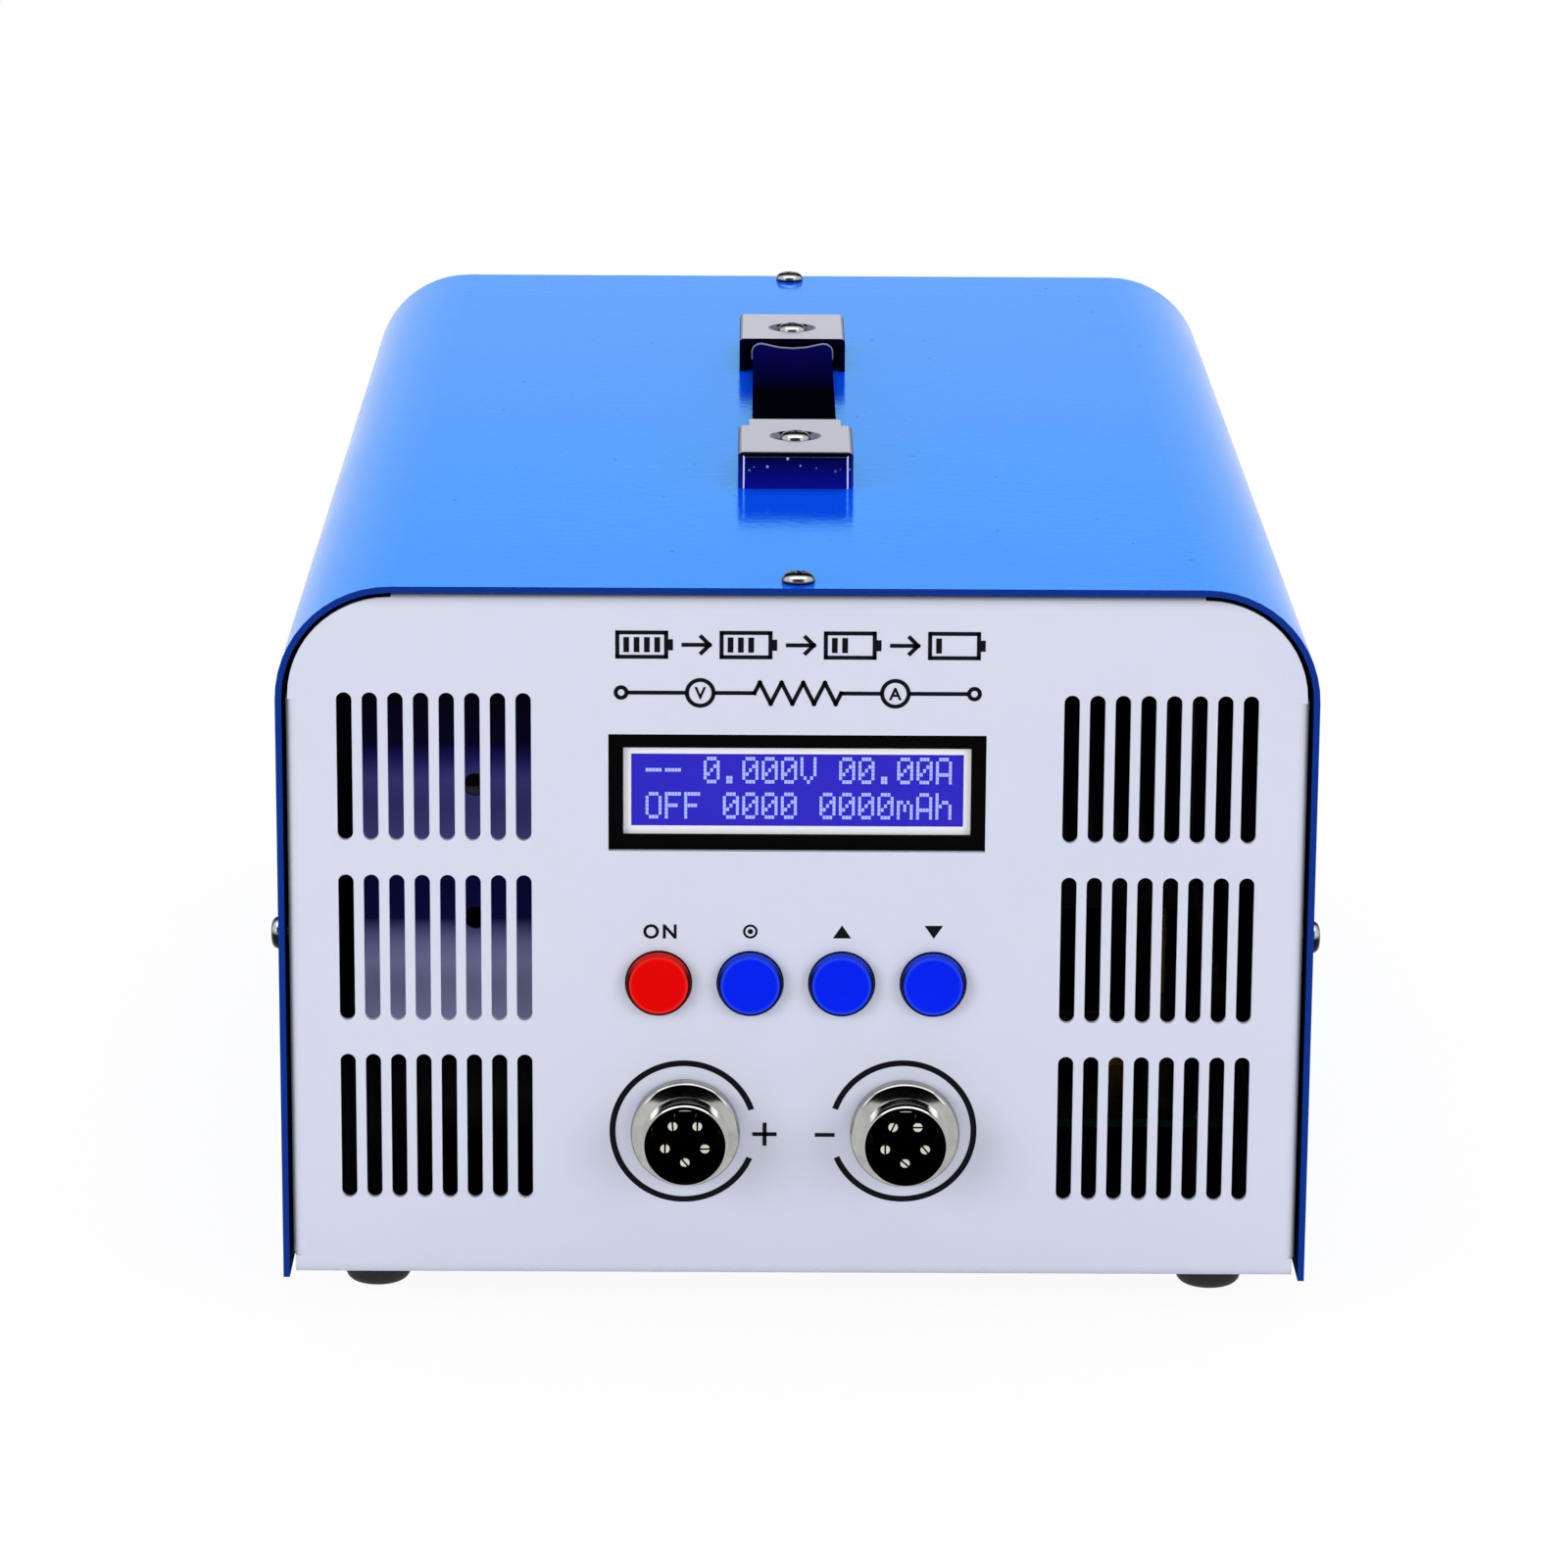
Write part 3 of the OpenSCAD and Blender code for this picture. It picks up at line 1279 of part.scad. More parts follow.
// Mains inlet: flange, plug recess, fuse drawer bay and switch bay in one moulding
module inlet_place() {
    case_frame() translate([-inlet_x, 0, 0]) children();
}
module plug_outline(grow) {
    w = plug_w / 2 + grow;
    h = plug_h / 2 + grow;
    c = 5;
    polygon([[-w, -h], [w, -h], [w, h - c], [w - c, h], [c - w, h], [-w, h - c]]);
}
module inlet_housing() {
    back = rear_y - inlet_d;
    color("#131315") inlet_place() difference() {
        union() {
            plate(rear_y, inlet_flange_t) translate([0, inlet_z]) {
                round_rect(inlet_flange_w, inlet_flange_h, 3);
                round_rect(inlet_ear_w, 15, 5);
            }
            plate(back, inlet_d + 1) translate([0, inlet_z]) square([inlet_w, inlet_h], center = true);
        }
        plate(inlet_face - plug_depth, plug_depth + 1) translate([0, plug_z]) plug_outline(0);
        plate(inlet_face - drawer_l - drawer_gap, drawer_l + 2) translate([0, drawer_z])
            square([drawer_w + 2 * drawer_gap, drawer_h + 2 * drawer_gap], center = true);
        plate(inlet_face - 14, 15) translate([0, rocker_z])
            square([rocker_w + 2 * drawer_gap, rocker_h + 2 * rocker_gap], center = true);
        translate([-rocker_w / 2 - drawer_gap - pivot_l - 0.1, pivot_y, rocker_z]) rotate([0, 90, 0])
            cylinder(h = rocker_w + 2 * drawer_gap + 2 * pivot_l + 0.2, r = pivot_r + pivot_gap);
        for (s = [-1, 1]) translate([s * inlet_screw_pitch / 2, 0, inlet_z]) {
            rod(rear_y - 1, inlet_flange_t + 2, screw_hole_r + 0.1);
        }
        each_inlet_blade() translate([0, back - 1, 0]) box(-2.05, 2.05, 0, inlet_d + 3, -1.05, 1.05);
    }
}
module each_inlet_blade() {
    for (p = [[-live_x, live_z], [0, earth_z], [live_x, live_z]])
        translate([p[0], 0, plug_z + p[1]]) children();
}
module inlet_blades() {
    y0 = rear_y - inlet_d - tab_l;
    y1 = inlet_face - plug_depth + blade_l;
    color("#cfd0d4") inlet_place() each_inlet_blade() box(-2, 2, y0, y1, -1, 1);
}
module inlet_screws() {
    color("silver") inlet_place() for (s = [-1, 1])
        translate([s * inlet_screw_pitch / 2, inlet_face, inlet_z]) rotate([-90, 0, 0])
            pan_screw(screw_r, inlet_flange_t + sheet_t + 5, small_head_r, screw_head_h);
}
module fuse_drawer() {
    color("#1d1d20") inlet_place() translate([0, 0, drawer_z]) difference() {
        union() {
            plate(inlet_face - drawer_l, drawer_l + 0.8) round_rect(drawer_w, drawer_h, 0.6);
            plate(inlet_face + 0.7, 1.1) translate([0, -drawer_h / 2 + 1]) square([8, 1.6], center = true);
        }
        // tray for the fuse
        box(-drawer_w / 2 + drawer_wall, drawer_w / 2 - drawer_wall, inlet_face - drawer_l + drawer_wall,
            inlet_face - 3, -drawer_h / 2 + drawer_wall, drawer_h);
    }
}
// Glass fuse with metal caps, lying across the tray
module fuse() {
    color("#d9dbe0") inlet_place()
        translate([-fuse_l / 2, inlet_face - drawer_l + drawer_wall + fuse_d / 2 + 0.2,
            drawer_z - drawer_h / 2 + drawer_wall + fuse_d / 2 + seat]) rotate([0, 90, 0]) {
                cylinder(h = fuse_l, r = fuse_d / 2 - 0.3);
                for (x = [0, fuse_l - fuse_cap_l]) translate([0, 0, x])
                    cylinder(h = fuse_cap_l, r = fuse_d / 2);
            }
}
module power_rocker() {
    dip = rocker_rise + 0.2;
    tip_y = rocker_tip;
    h = rocker_h / 2;
    far = rocker_r + 1;
    color("#b41216") inlet_place() translate([0, pivot_y, rocker_z]) rotate([rocker_angle / 2, 0, 0]) {
        slab(-rocker_w / 2, rocker_w) difference() {
            union() {
                polygon([[tip_y, -h], [dip, 0], [tip_y, h], [0, rocker_r], [0, -rocker_r]]);
                circle(rocker_r);
            }
            polygon([[far, -far], [tip_y, -h], [dip, 0], [tip_y, h], [far, far]]);
            translate([-far, -far]) square([far - 2.5, 2 * far]);
        }
        translate([-rocker_w / 2 - drawer_gap - pivot_l, 0, 0]) rotate([0, 90, 0])
            cylinder(h = rocker_w + 2 * drawer_gap + 2 * pivot_l, r = pivot_r);
    }
}

chassis();
cover();
cover_screws();
feet();
foot_screws();
handle_cap_front();
handle_cap_rear();
handle_screws();
handle_nuts();
strap_end_front();
strap_link_front();
strap_link_rear();
strap_end_rear();
display_frame();
display_glass();
display_board();
display_spacers();
display_screws();
control_board();
control_spacers();
small_nuts();
control_cable();
switch_bodies();
button_on();
button_set();
button_up();
button_down();
socket_shell_positive();
socket_insert_positive();
socket_pins_positive();
socket_shell_negative();
socket_insert_negative();
socket_pins_negative();
socket_nuts();
lead_positive();
lead_negative();
supply_wires();
power_terminals();
load_board();
board_pillars();
board_screws();
heatsink();
sink_pillars();
transistors();
capacitors();
current_shunt();
psu_case();
psu_cover();
psu_terminals();
psu_bracket();
fan_frame();
fan_rotor();
fan_guard();
fan_screws();
inlet_housing();
inlet_blades();
inlet_screws();
fuse_drawer();
fuse();
power_rocker();
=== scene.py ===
# %% [markdown]
# # A bench battery capacity tester, dressed for the camera
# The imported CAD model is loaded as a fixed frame. Its rigid pieces stay as they are and get
# finishes. Screws, sockets, pins, strap and printing are modelled here, on the places that the
# frame gives. Every length is written in millimetres and turned to metres by one function.

# %% Load the frame
import math

import bmesh
import bpy
from mathutils import Matrix, Vector


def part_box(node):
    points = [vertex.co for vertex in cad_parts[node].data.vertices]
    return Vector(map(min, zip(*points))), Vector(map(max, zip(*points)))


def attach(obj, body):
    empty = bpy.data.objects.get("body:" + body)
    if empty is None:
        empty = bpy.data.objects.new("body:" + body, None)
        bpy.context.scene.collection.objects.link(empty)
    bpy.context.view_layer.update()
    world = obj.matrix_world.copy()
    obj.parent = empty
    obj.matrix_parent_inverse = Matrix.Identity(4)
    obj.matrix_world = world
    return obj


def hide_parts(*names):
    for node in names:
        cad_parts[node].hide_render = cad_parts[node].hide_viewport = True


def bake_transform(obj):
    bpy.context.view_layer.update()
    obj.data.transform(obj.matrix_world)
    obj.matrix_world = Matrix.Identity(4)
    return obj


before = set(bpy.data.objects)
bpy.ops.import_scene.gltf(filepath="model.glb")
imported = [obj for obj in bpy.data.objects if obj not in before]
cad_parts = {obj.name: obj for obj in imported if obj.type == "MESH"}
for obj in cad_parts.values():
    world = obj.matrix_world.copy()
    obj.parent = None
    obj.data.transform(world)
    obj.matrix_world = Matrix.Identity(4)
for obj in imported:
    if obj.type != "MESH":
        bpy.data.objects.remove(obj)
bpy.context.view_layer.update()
scene = bpy.context.scene

# %% [markdown]
# ## One place for every number
# The case was drawn with Y = 0 at the front edge of its cover and Z = 0 under its floor. These
# helpers turn such a place in millimetres into Blender's metres, by way of the cover's own box.

# %% Places
MM = 0.001
cover_low, cover_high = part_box("cover")
chassis_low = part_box("chassis")[0]
front_edge, floor_under = cover_low.y, chassis_low.z
panel_face = (chassis_low.y - front_edge) / MM


def at(x, y, z):
    return Vector((x * MM, y * MM + front_edge, z * MM + floor_under))


def tilt(degrees, axis):
    return Matrix.Rotation(math.radians(degrees), 4, axis)


def place(x, y, z, tilted=None):
    """Moves a mesh drawn in millimetres to its place in the case, tilted first."""
    return Matrix.Translation(at(x, y, z)) @ Matrix.Scale(MM, 4) @ (tilted or Matrix())


FACING_FRONT = tilt(90, "X")
print("panel face", round(panel_face, 3), "mm behind the cover's edge")

# %% [markdown]
# ## Camera
# The photograph was taken from 1.1 m in front and a little above, with a long lens. The pose was
# fitted to the edges of the case, so the same edges fall on the same places in the picture. A
# constraint could aim the camera, but its three axes also give the slight roll.

# %% Camera
EYE = at(-9.0, -1103.7, 388.8)
LENS, SENSOR = 141.6, 36
PITCH, YAW, ROLL = (math.radians(a) for a in (14.84, 0.34, -0.35))
ahead = Vector((math.sin(YAW) * math.cos(PITCH), math.cos(YAW) * math.cos(PITCH),
                -math.sin(PITCH)))
level = Vector((math.cos(YAW), -math.sin(YAW), 0))
down = ahead.cross(level)
right = math.cos(ROLL) * level + math.sin(ROLL) * down
up = math.sin(ROLL) * level - math.cos(ROLL) * down
camera_data = bpy.data.cameras.new("camera")
camera_data.lens, camera_data.sensor_width = LENS, SENSOR
camera_data.clip_start, camera_data.clip_end = 0.05, 30
camera = bpy.data.objects.new("camera", camera_data)
camera.matrix_world = Matrix((right, up, -ahead)).transposed().to_4x4()
camera.location = EYE
scene.collection.objects.link(camera)
scene.camera = camera
print("camera", [round(c, 3) for c in EYE])

# %% [markdown]
# ## Node and colour helpers
# A colour is written as it looks on a screen, in sRGB hex, and Blender wants linear light, so one
# function turns it. Another adds a node with its settings and feeds its sockets. A dict names
# the sockets. A list feeds them from the top, as the node editor shows them: for Map Range that is
# the value, the two ends it comes from and the two ends it goes to. A node as a value is linked.

# %% Node and colour helpers


def tint(hex_colour):
    parts = [int(hex_colour[i:i + 2], 16) / 255 for i in (1, 3, 5)]
    linear = [c / 12.92 if c < 0.04045 else ((c + 0.055) / 1.055) ** 2.4 for c in parts]
    return (*linear, 1)


def feed(node, values):
    if isinstance(values, dict):
        pairs = [(node.inputs[name], value) for name, value in values.items()]
    else:
        pairs = zip([socket for socket in node.inputs if socket.enabled], values)
    for socket, value in pairs:
        if isinstance(value, bpy.types.Node):
            value = next(output for output in value.outputs if output.enabled)
        if isinstance(value, bpy.types.NodeSocket):
            node.id_data.links.new(value, socket)
        else:
            socket.default_value = value
    return node


def add(tree, kind, values=(), **settings):
    node = tree.nodes.new("ShaderNode" + kind)
    for name, value in settings.items():
        setattr(node, name, value)
    return feed(node, values)


def every(size_mm):
    """Scale of a texture whose features are that many millimetres apart."""
    return 1 / (size_mm * MM)


WHITE, BLACK = (1, 1, 1, 1), (0, 0, 0, 1)
print("mid grey in linear light", round(tint("#808080")[0], 3))

# %% [markdown]
# ## A finish in layers
# Most parts here are one material with small faults: the tone drifts a little from place to
# place, the gloss drifts with it, and a fine grain catches the light. One function makes such a
# finish from two near colours, a roughness, the size of the blotches and the size and depth of
# the grain in millimetres. Special parts lay more colours over it, each where its mask is 1.

# %% A finish in layers


def finish(name, low, high, roughness, blotch=12, grain=0.5, depth=0.01, spread=0.06,
           stretch=None, **fixed):
    material = bpy.data.materials.new(name)
    material.use_nodes = True
    tree = material.node_tree
    where = add(tree, "TexCoord").outputs["Object"]
    if stretch:
        where = add(tree, "Mapping", {"Vector": where, "Scale": stretch})
    cloud = add(tree, "TexNoise", {"Vector": where, "Scale": every(blotch), "Detail": 3})
    speck = add(tree, "TexNoise", {"Vector": where, "Scale": every(grain), "Detail": 2})
    feed(tree.nodes["Principled BSDF"], {
        "Base Color": add(tree, "Mix", [cloud, tint(low), tint(high)], data_type="RGBA"),
        "Roughness": add(tree, "MapRange", [cloud, 0, 1, roughness - spread, roughness + spread]),
        "Normal": add(tree, "Bump", {"Height": speck, "Distance": depth * MM, "Strength": 1}),
        **{key.replace("_", " "): value for key, value in fixed.items()}})
    return material


def parts_of(material):
    """The tree, the shader, the tone and the coordinates of a finish, to add layers."""
    tree = material.node_tree
    kinds = {node.bl_idname: node for node in tree.nodes}
    where = kinds["ShaderNodeTexCoord"].outputs["Object"]
    return tree, kinds["ShaderNodeBsdfPrincipled"], kinds["ShaderNodeMix"], where


def paint_over(tree, shader, tone, *layers):
    """Lays colours over a tone, each where its mask is 1, and gives the last to the shader."""
    for mask, colour in layers:
        colour = tint(colour) if isinstance(colour, str) else colour
        tone = add(tree, "Mix", [mask, tone, colour], data_type="RGBA")
    feed(shader, {"Base Color": tone})


def gloss_of(shader):
    return shader.inputs["Roughness"].links[0].from_socket


# %% [markdown]
# ## Glossy blue powder coat
# The cover is bent steel with a thick polyester powder coat. It melts into a skin that is glossy
# but not flat: soft waves 2 to 3 mm apart, called orange peel. Dust leaves a few dark specks.
# The colour itself is a deep blue. Its skin mirrors the pale surroundings with a sky blue tint,
# which lightens it, and near the handle it mirrors the dark handle, so the deep blue shows there.
# The sheet's cut edges and its inside are painted darker, as painted shade, and mirror nothing
# pale.

# %% Glossy blue powder coat
SKIN_IOR, SKY_TINT = 3.7, (0.0, 0.66, 0.58, 1)
PEEL, PEEL_DEPTH, DUST, INNER = 2.4, 0.05, 5, -30 * MM
cover_paint = finish("glossy blue powder coat", "#024efa", "#0656ff", 0.13, blotch=40, grain=PEEL,
                     depth=PEEL_DEPTH, Specular_Tint=SKY_TINT, IOR=SKIN_IOR)
tree, shader, tone, where = parts_of(cover_paint)
normal = add(tree, "NewGeometry").outputs["Normal"]
facing = add(tree, "SeparateXYZ", [normal]).outputs
# Faces that look along the case are the cut edges of the sheet.
across = add(tree, "Math", [facing["Y"]], operation="ABSOLUTE")
edge = add(tree, "MapRange", [across, 0.3, 0.8])
dust = add(tree, "TexVoronoi", {"Vector": where, "Scale": every(DUST)})
dot = add(tree, "MapRange", [dust, 0.045, 0.085, 0.8, 0])
rare = add(tree, "Math", [dust.outputs["Color"], 0.76], operation="GREATER_THAN")
speck = add(tree, "Math", [dot, rare], operation="MULTIPLY")
# Faces that look towards the middle of the case are its inside.
heart = (*((cover_low + cover_high) / 2).xy, floor_under)
outward = add(tree, "VectorMath", [where, heart], operation="SUBTRACT")
turned_to = add(tree, "VectorMath", [outward, normal], operation="DOT_PRODUCT")
inside = add(tree, "Math", [turned_to, INNER], operation="LESS_THAN")
# Painted shade: darker blues on the cut edges and the inside. The specks are dust.
paint_over(tree, shader, tone, (speck, "#0a2468"), (edge, "#12348f"), (inside, "#0a1c3c"))
bare = add(tree, "Math", [edge, inside], operation="MAXIMUM")
feed(shader, {"Metallic": add(tree, "Math", [bare, speck], operation="MAXIMUM"),
              "Roughness": add(tree, "Mix", [inside, gloss_of(shader), 0.95])})
print(cover_paint.name)

# %% [markdown]
# ## Satin white powder coat
# Front panel, floor and rear panel are one folded sheet with a pale bluish-white coat. It is
# satin, with a fine leathery grain about half a millimetre apart, so highlights stay broad. The
# upper side of the floor lies in the dark behind the vent slots, and is painted dark there as
# painted shade.

# %% Satin white powder coat
FLOOR_TOP = 2
panel_paint = finish("satin white powder coat", "#d3d8ea", "#dadeee", 0.42, blotch=35, grain=0.45,
                     depth=0.012, Specular_IOR_Level=0.25)
tree, shader, tone, where = parts_of(panel_paint)
facing = add(tree, "SeparateXYZ", [add(tree, "NewGeometry").outputs["Normal"]]).outputs
spot = add(tree, "SeparateXYZ", [where]).outputs
upward = add(tree, "Math", [facing["Z"], 0.7], operation="GREATER_THAN")
low_down = add(tree, "Math", [spot["Z"], at(0, 0, FLOOR_TOP).z], operation="LESS_THAN")
painted_floor_shade = add(tree, "Math", [upward, low_down], operation="MULTIPLY")
# Painted shade: the floor's upper side is coloured dark.
paint_over(tree, shader, tone, (painted_floor_shade, "#1d1e24"))
print(panel_paint.name)

# %% [markdown]
# ## Bright plated steel
# Handle caps and finger guard are nickel over polished steel: a mirror with faint rubbing marks.
# A metal keeps the default IOR, and its base colour is what it reflects. The walls of the caps
# mirror the blue paint and the black strap, and the bends of their sheet show as pale lines. A
# plain mirror gives such tones under one light only. So they are painted in here, by masks that
# follow the way each face looks: painted reflections on the walls, painted highlights on the
# bends, painted shade at the front's fold, and small painted glint specks that break the plate.

# %% Nickel plate
BETWEEN_CAPS, CAP_FOOT, CAP_EDGE, GLINT_SPACING = 170, 133.5, 140, 1.4
nickel, cap_nickel = (
    finish(name, low, high, 0.16, blotch=6, grain=1.5, depth=0.004, spread=0.05, Metallic=1)
    for name, low, high in (("bright nickel plate", "#bdbcc6", "#cbcad2"),
                            ("nickel plate with painted reflections", "#9c9cb2", "#a9a9bd")))
tree, shader, tone, where = parts_of(cap_nickel)
facing = add(tree, "SeparateXYZ", [add(tree, "NewGeometry").outputs["Normal"]]).outputs
spot = add(tree, "SeparateXYZ", [where]).outputs
# An upright face that looks neither square along the case nor to its side is a bend.
along = add(tree, "Math", [facing["Y"]], operation="ABSOLUTE")
bend_start = add(tree, "MapRange", [along, 0.975, 0.985])
bend_end = add(tree, "MapRange", [along, 0.91, 0.935, 1, 0])
square_on = add(tree, "Math", [bend_start, bend_end], operation="MAXIMUM")
bend = add(tree, "Math", [1, square_on], operation="SUBTRACT")
wall = add(tree, "MapRange", [facing["Z"], 0.68, 0.78, 1, 0])
upright = add(tree, "MapRange", [facing["Z"], 0.15, 0.25, 1, 0])
leaning = add(tree, "Math", [1, upright], operation="SUBTRACT")
to_front = add(tree, "MapRange", [facing["Y"], -0.36, -0.46])
# Painted highlight along the bends, painted shade along the front's fold.
bend_highlight = add(tree, "Math", [bend, upright], operation="MULTIPLY")
fold_shade = add(tree, "Math", [to_front, leaning], operation="MULTIPLY")

# %% Painted reflections and glint specks of the caps
rear_cap = add(tree, "Math", [spot["Y"], at(0, BETWEEN_CAPS, 0).y], operation="GREATER_THAN")
front_cap = add(tree, "Math", [1, rear_cap], operation="SUBTRACT")
rise = add(tree, "MapRange", [spot["Z"], at(0, 0, CAP_FOOT).z, at(0, 0, CAP_EDGE).z])
# Painted reflections: the front cap's walls take the blue paint, darker towards the top, and the
# rear cap's walls take the black strap.
front_wall_reflection = add(tree, "Mix", [rise, tint("#221ea0"), tint("#0e0b3a")], data_type="RGBA")
wall_reflection = add(tree, "Mix", [rear_cap, front_wall_reflection, tint("#08072c")], data_type="RGBA")
# Painted glints: small pale specks on the walls of the front cap.
glint_cells = add(tree, "TexVoronoi", {"Vector": where, "Scale": every(GLINT_SPACING)})
dot = add(tree, "MapRange", [glint_cells, 0.14, 0.26, 1, 0])
some = add(tree, "Math", [glint_cells.outputs["Color"], 0.66], operation="GREATER_THAN")
glint_specks = add(tree, "MapRange", [rise, 0.45, 0.7])
for share in (dot, some, square_on, upright, front_cap):
    glint_specks = add(tree, "Math", [glint_specks, share], operation="MULTIPLY")
paint_over(tree, shader, tone, (wall, wall_reflection), (fold_shade, "#020207"), (bend_highlight, "#f6f6fa"),
           (glint_specks, "#c8c8e0"))
dull_parts = add(tree, "Math", [bend_highlight, glint_specks], operation="MAXIMUM")
pressed = add(tree, "MapRange", [facing["Z"], 0.9, 0.96, 1, 0])
feed(shader, {"Metallic": add(tree, "Math", [1, dull_parts], operation="SUBTRACT"),
              "Roughness": add(tree, "Mix", [pressed, gloss_of(shader), 0.45])})
print(nickel.name, "and", cap_nickel.name)

# %% [markdown]
# ## Other metals
# Socket shells are chromed, which looks a little warmer. Screws are zinc plated, and the heads on
# cover and handle are coloured dark, as painted shade and dark reflection, save their upper front
# side, which stays bright. The heatsink is extruded, so its grain runs one way, and its pattern is
# stretched in Y.

# %% Chrome, zinc, brass and other metals
chrome_shell = finish("polished chrome plate", "#92928f", "#c6c6c2", 0.10, blotch=3, grain=1.0,
                      depth=0.003, spread=0.03, Metallic=1)
zinc = finish("bright zinc plate", "#a9abae", "#c2c4c6", 0.24, blotch=3, grain=0.4, depth=0.006,
              Metallic=1)
head_zinc = zinc.copy()
head_zinc.name = "zinc plate with painted shade"
tree, shader, tone, _ = parts_of(head_zinc)
facing = add(tree, "SeparateXYZ", [add(tree, "NewGeometry").outputs["Normal"]]).outputs
# Painted shade and dark reflection: all of each head but its upper front side is coloured dark.
backward = add(tree, "MapRange", [facing["Y"], -0.5, -0.36])
sunk = add(tree, "MapRange", [facing["Z"], 0.3, 0.1])
head_shade = add(tree, "Math", [backward, sunk], operation="MAXIMUM")
paint_over(tree, shader, tone, (head_shade, "#1c1c26"))
brass = finish("turned brass", "#b98f3f", "#cfa552", 0.28, blotch=4, grain=0.3, depth=0.006,
               Metallic=1)
contact = finish("silver plated contact", "#cfc9ba", "#e2ddd0", 0.18, blotch=1.5, grain=0.3,
                 depth=0.004, Metallic=1)
bracket_sheet = finish("zinc plated bracket", "#9c9fa6", "#b2b5ba", 0.38, blotch=14, grain=0.6,
                       Metallic=1)
shunt_alloy = finish("rolled shunt alloy", "#a8794c", "#bb8a58", 0.34, blotch=5, grain=0.3,
                     depth=0.008, Metallic=1)
anodised = finish("black anodised aluminium", "#16171a", "#202226", 0.42, blotch=18, grain=0.25,
                  depth=0.006, stretch=(1, 0.05, 1), Metallic=0.6)
print(chrome_shell.name, "and", len(bpy.data.materials) - 1, "more so far")

# %% [markdown]
# ## Aluminium of the power supply
# Through the vent slots shows the end of the power supply, plain rolled sheet. It mirrors slots,
# panel and darkness in level bands. A colour ramp over the height paints these bands in as painted
# light and shade, which the few rays that find their way through the slots wouldn't show clearly.

# %% Aluminium of the power supply
BANDS = [(45, "#b2b4e4"), (56, "#b2b4e4"), (60, "#9092cb"), (65, "#101052"), (74, "#09094c"),
         (79, "#6c6ebc"), (92, "#5a5cb2"), (96, "#2a2a80"), (99, "#060634"), (108, "#020214")]
LOWEST, HIGHEST = BANDS[0][0], BANDS[-1][0]
supply_sheet = finish("plain aluminium sheet", "#66668c", "#787898", 0.36, blotch=20, grain=0.4,
                      stretch=(1, 0.06, 1), Metallic=0.3, Specular_IOR_Level=0.0)
tree, shader, tone, where = parts_of(supply_sheet)
spot = add(tree, "SeparateXYZ", [where]).outputs
share_up = add(tree, "MapRange", [spot["Z"], at(0, 0, LOWEST).z, at(0, 0, HIGHEST).z])
# Painted light and shade: bright and dark bands up the sheet.
painted_light_bands = add(tree, "ValToRGB", [share_up])
ramp = painted_light_bands.color_ramp.elements
ramp[0].color, ramp[1].color = tint(BANDS[0][1]), tint(BANDS[-1][1])
for z, colour in BANDS[1:-1]:
    ramp.new((z - LOWEST) / (HIGHEST - LOWEST)).color = tint(colour)
paint_over(tree, shader, tone, (0.97, painted_light_bands))
print(supply_sheet.name, "bands", len(ramp))

# %% [markdown]
# ## Button caps
# The caps are glossy moulded ABS. Each has a painted highlight, a lighter ring where its dome
# turns to the wall, and a painted shade, a dark line round its foot, thinner at the top. All caps
# share one mask: the X coordinate is wrapped at the pitch of the buttons, so every cap finds its
# own middle.

# %% Button caps
button_red, button_blue = (
    finish(name, low, high, 0.25, blotch=5, grain=0.8, depth=0.004, spread=0.03,
           Specular_IOR_Level=0.03)
    for name, low, high in (("glossy red ABS", "#e00000", "#ec0302"),
                            ("glossy blue ABS", "#001eea", "#0427f6")))
BUTTON_PITCH, BUTTON_Z = 17.1, 57.7
DOME_R, SHOULDER_R, WALL_R = 4.9 * MM, 5.4 * MM, 5.56 * MM
ROOT = [at(0, panel_face - deep, 0).y for deep in (0.6, 0.4)]
for cap, rim, glint in ((button_red, "#480104", "#f0443c"), (button_blue, "#060f4c", "#3f66ee")):
    tree, shader, tone, where = parts_of(cap)
    spot = add(tree, "SeparateXYZ", [where]).outputs
    along = add(tree, "Math", [spot["X"], BUTTON_PITCH * MM, 0], operation="WRAP")
    off_x = add(tree, "Math", [along, BUTTON_PITCH / 2 * MM], operation="SUBTRACT")
    off_z = add(tree, "Math", [spot["Z"], at(0, 0, BUTTON_Z).z], operation="SUBTRACT")
    flat = add(tree, "CombineXYZ", {"X": off_x, "Z": off_z})
    radius = add(tree, "VectorMath", [flat], operation="LENGTH")
    # Painted highlight: a lighter ring near the shoulder of the dome.
    bright = add(tree, "MapRange", [radius, DOME_R, SHOULDER_R, 0, 0.45])
    edge = add(tree, "MapRange", [radius, SHOULDER_R, WALL_R])
    # Painted shade: a dark ring at the foot, thinner at the top and full at the panel.
    over = add(tree, "Math", [off_z, radius], operation="DIVIDE")
    under = add(tree, "MapRange", [over, 0.3, 0.75, 1, 0.4])
    root = add(tree, "MapRange", [spot["Y"], *ROOT])
    under = add(tree, "Math", [under, root], operation="MAXIMUM")
    dark = add(tree, "Math", [edge, under], operation="MULTIPLY")
    paint_over(tree, shader, tone, (bright, glint), (dark, rim))
print(button_red.name, "and", button_blue.name)

# %% [markdown]
# ## Plastics, enamel, rubber and vinyl
# Fan and inlet are dark, slightly grained mouldings, and the display's frame is stoved enamel.
# Feet are matt rubber. The strap is soft vinyl with a satin skin, which mirrors more of the blue
# cover towards its rear end, so a painted reflection turns its colour bluer there.

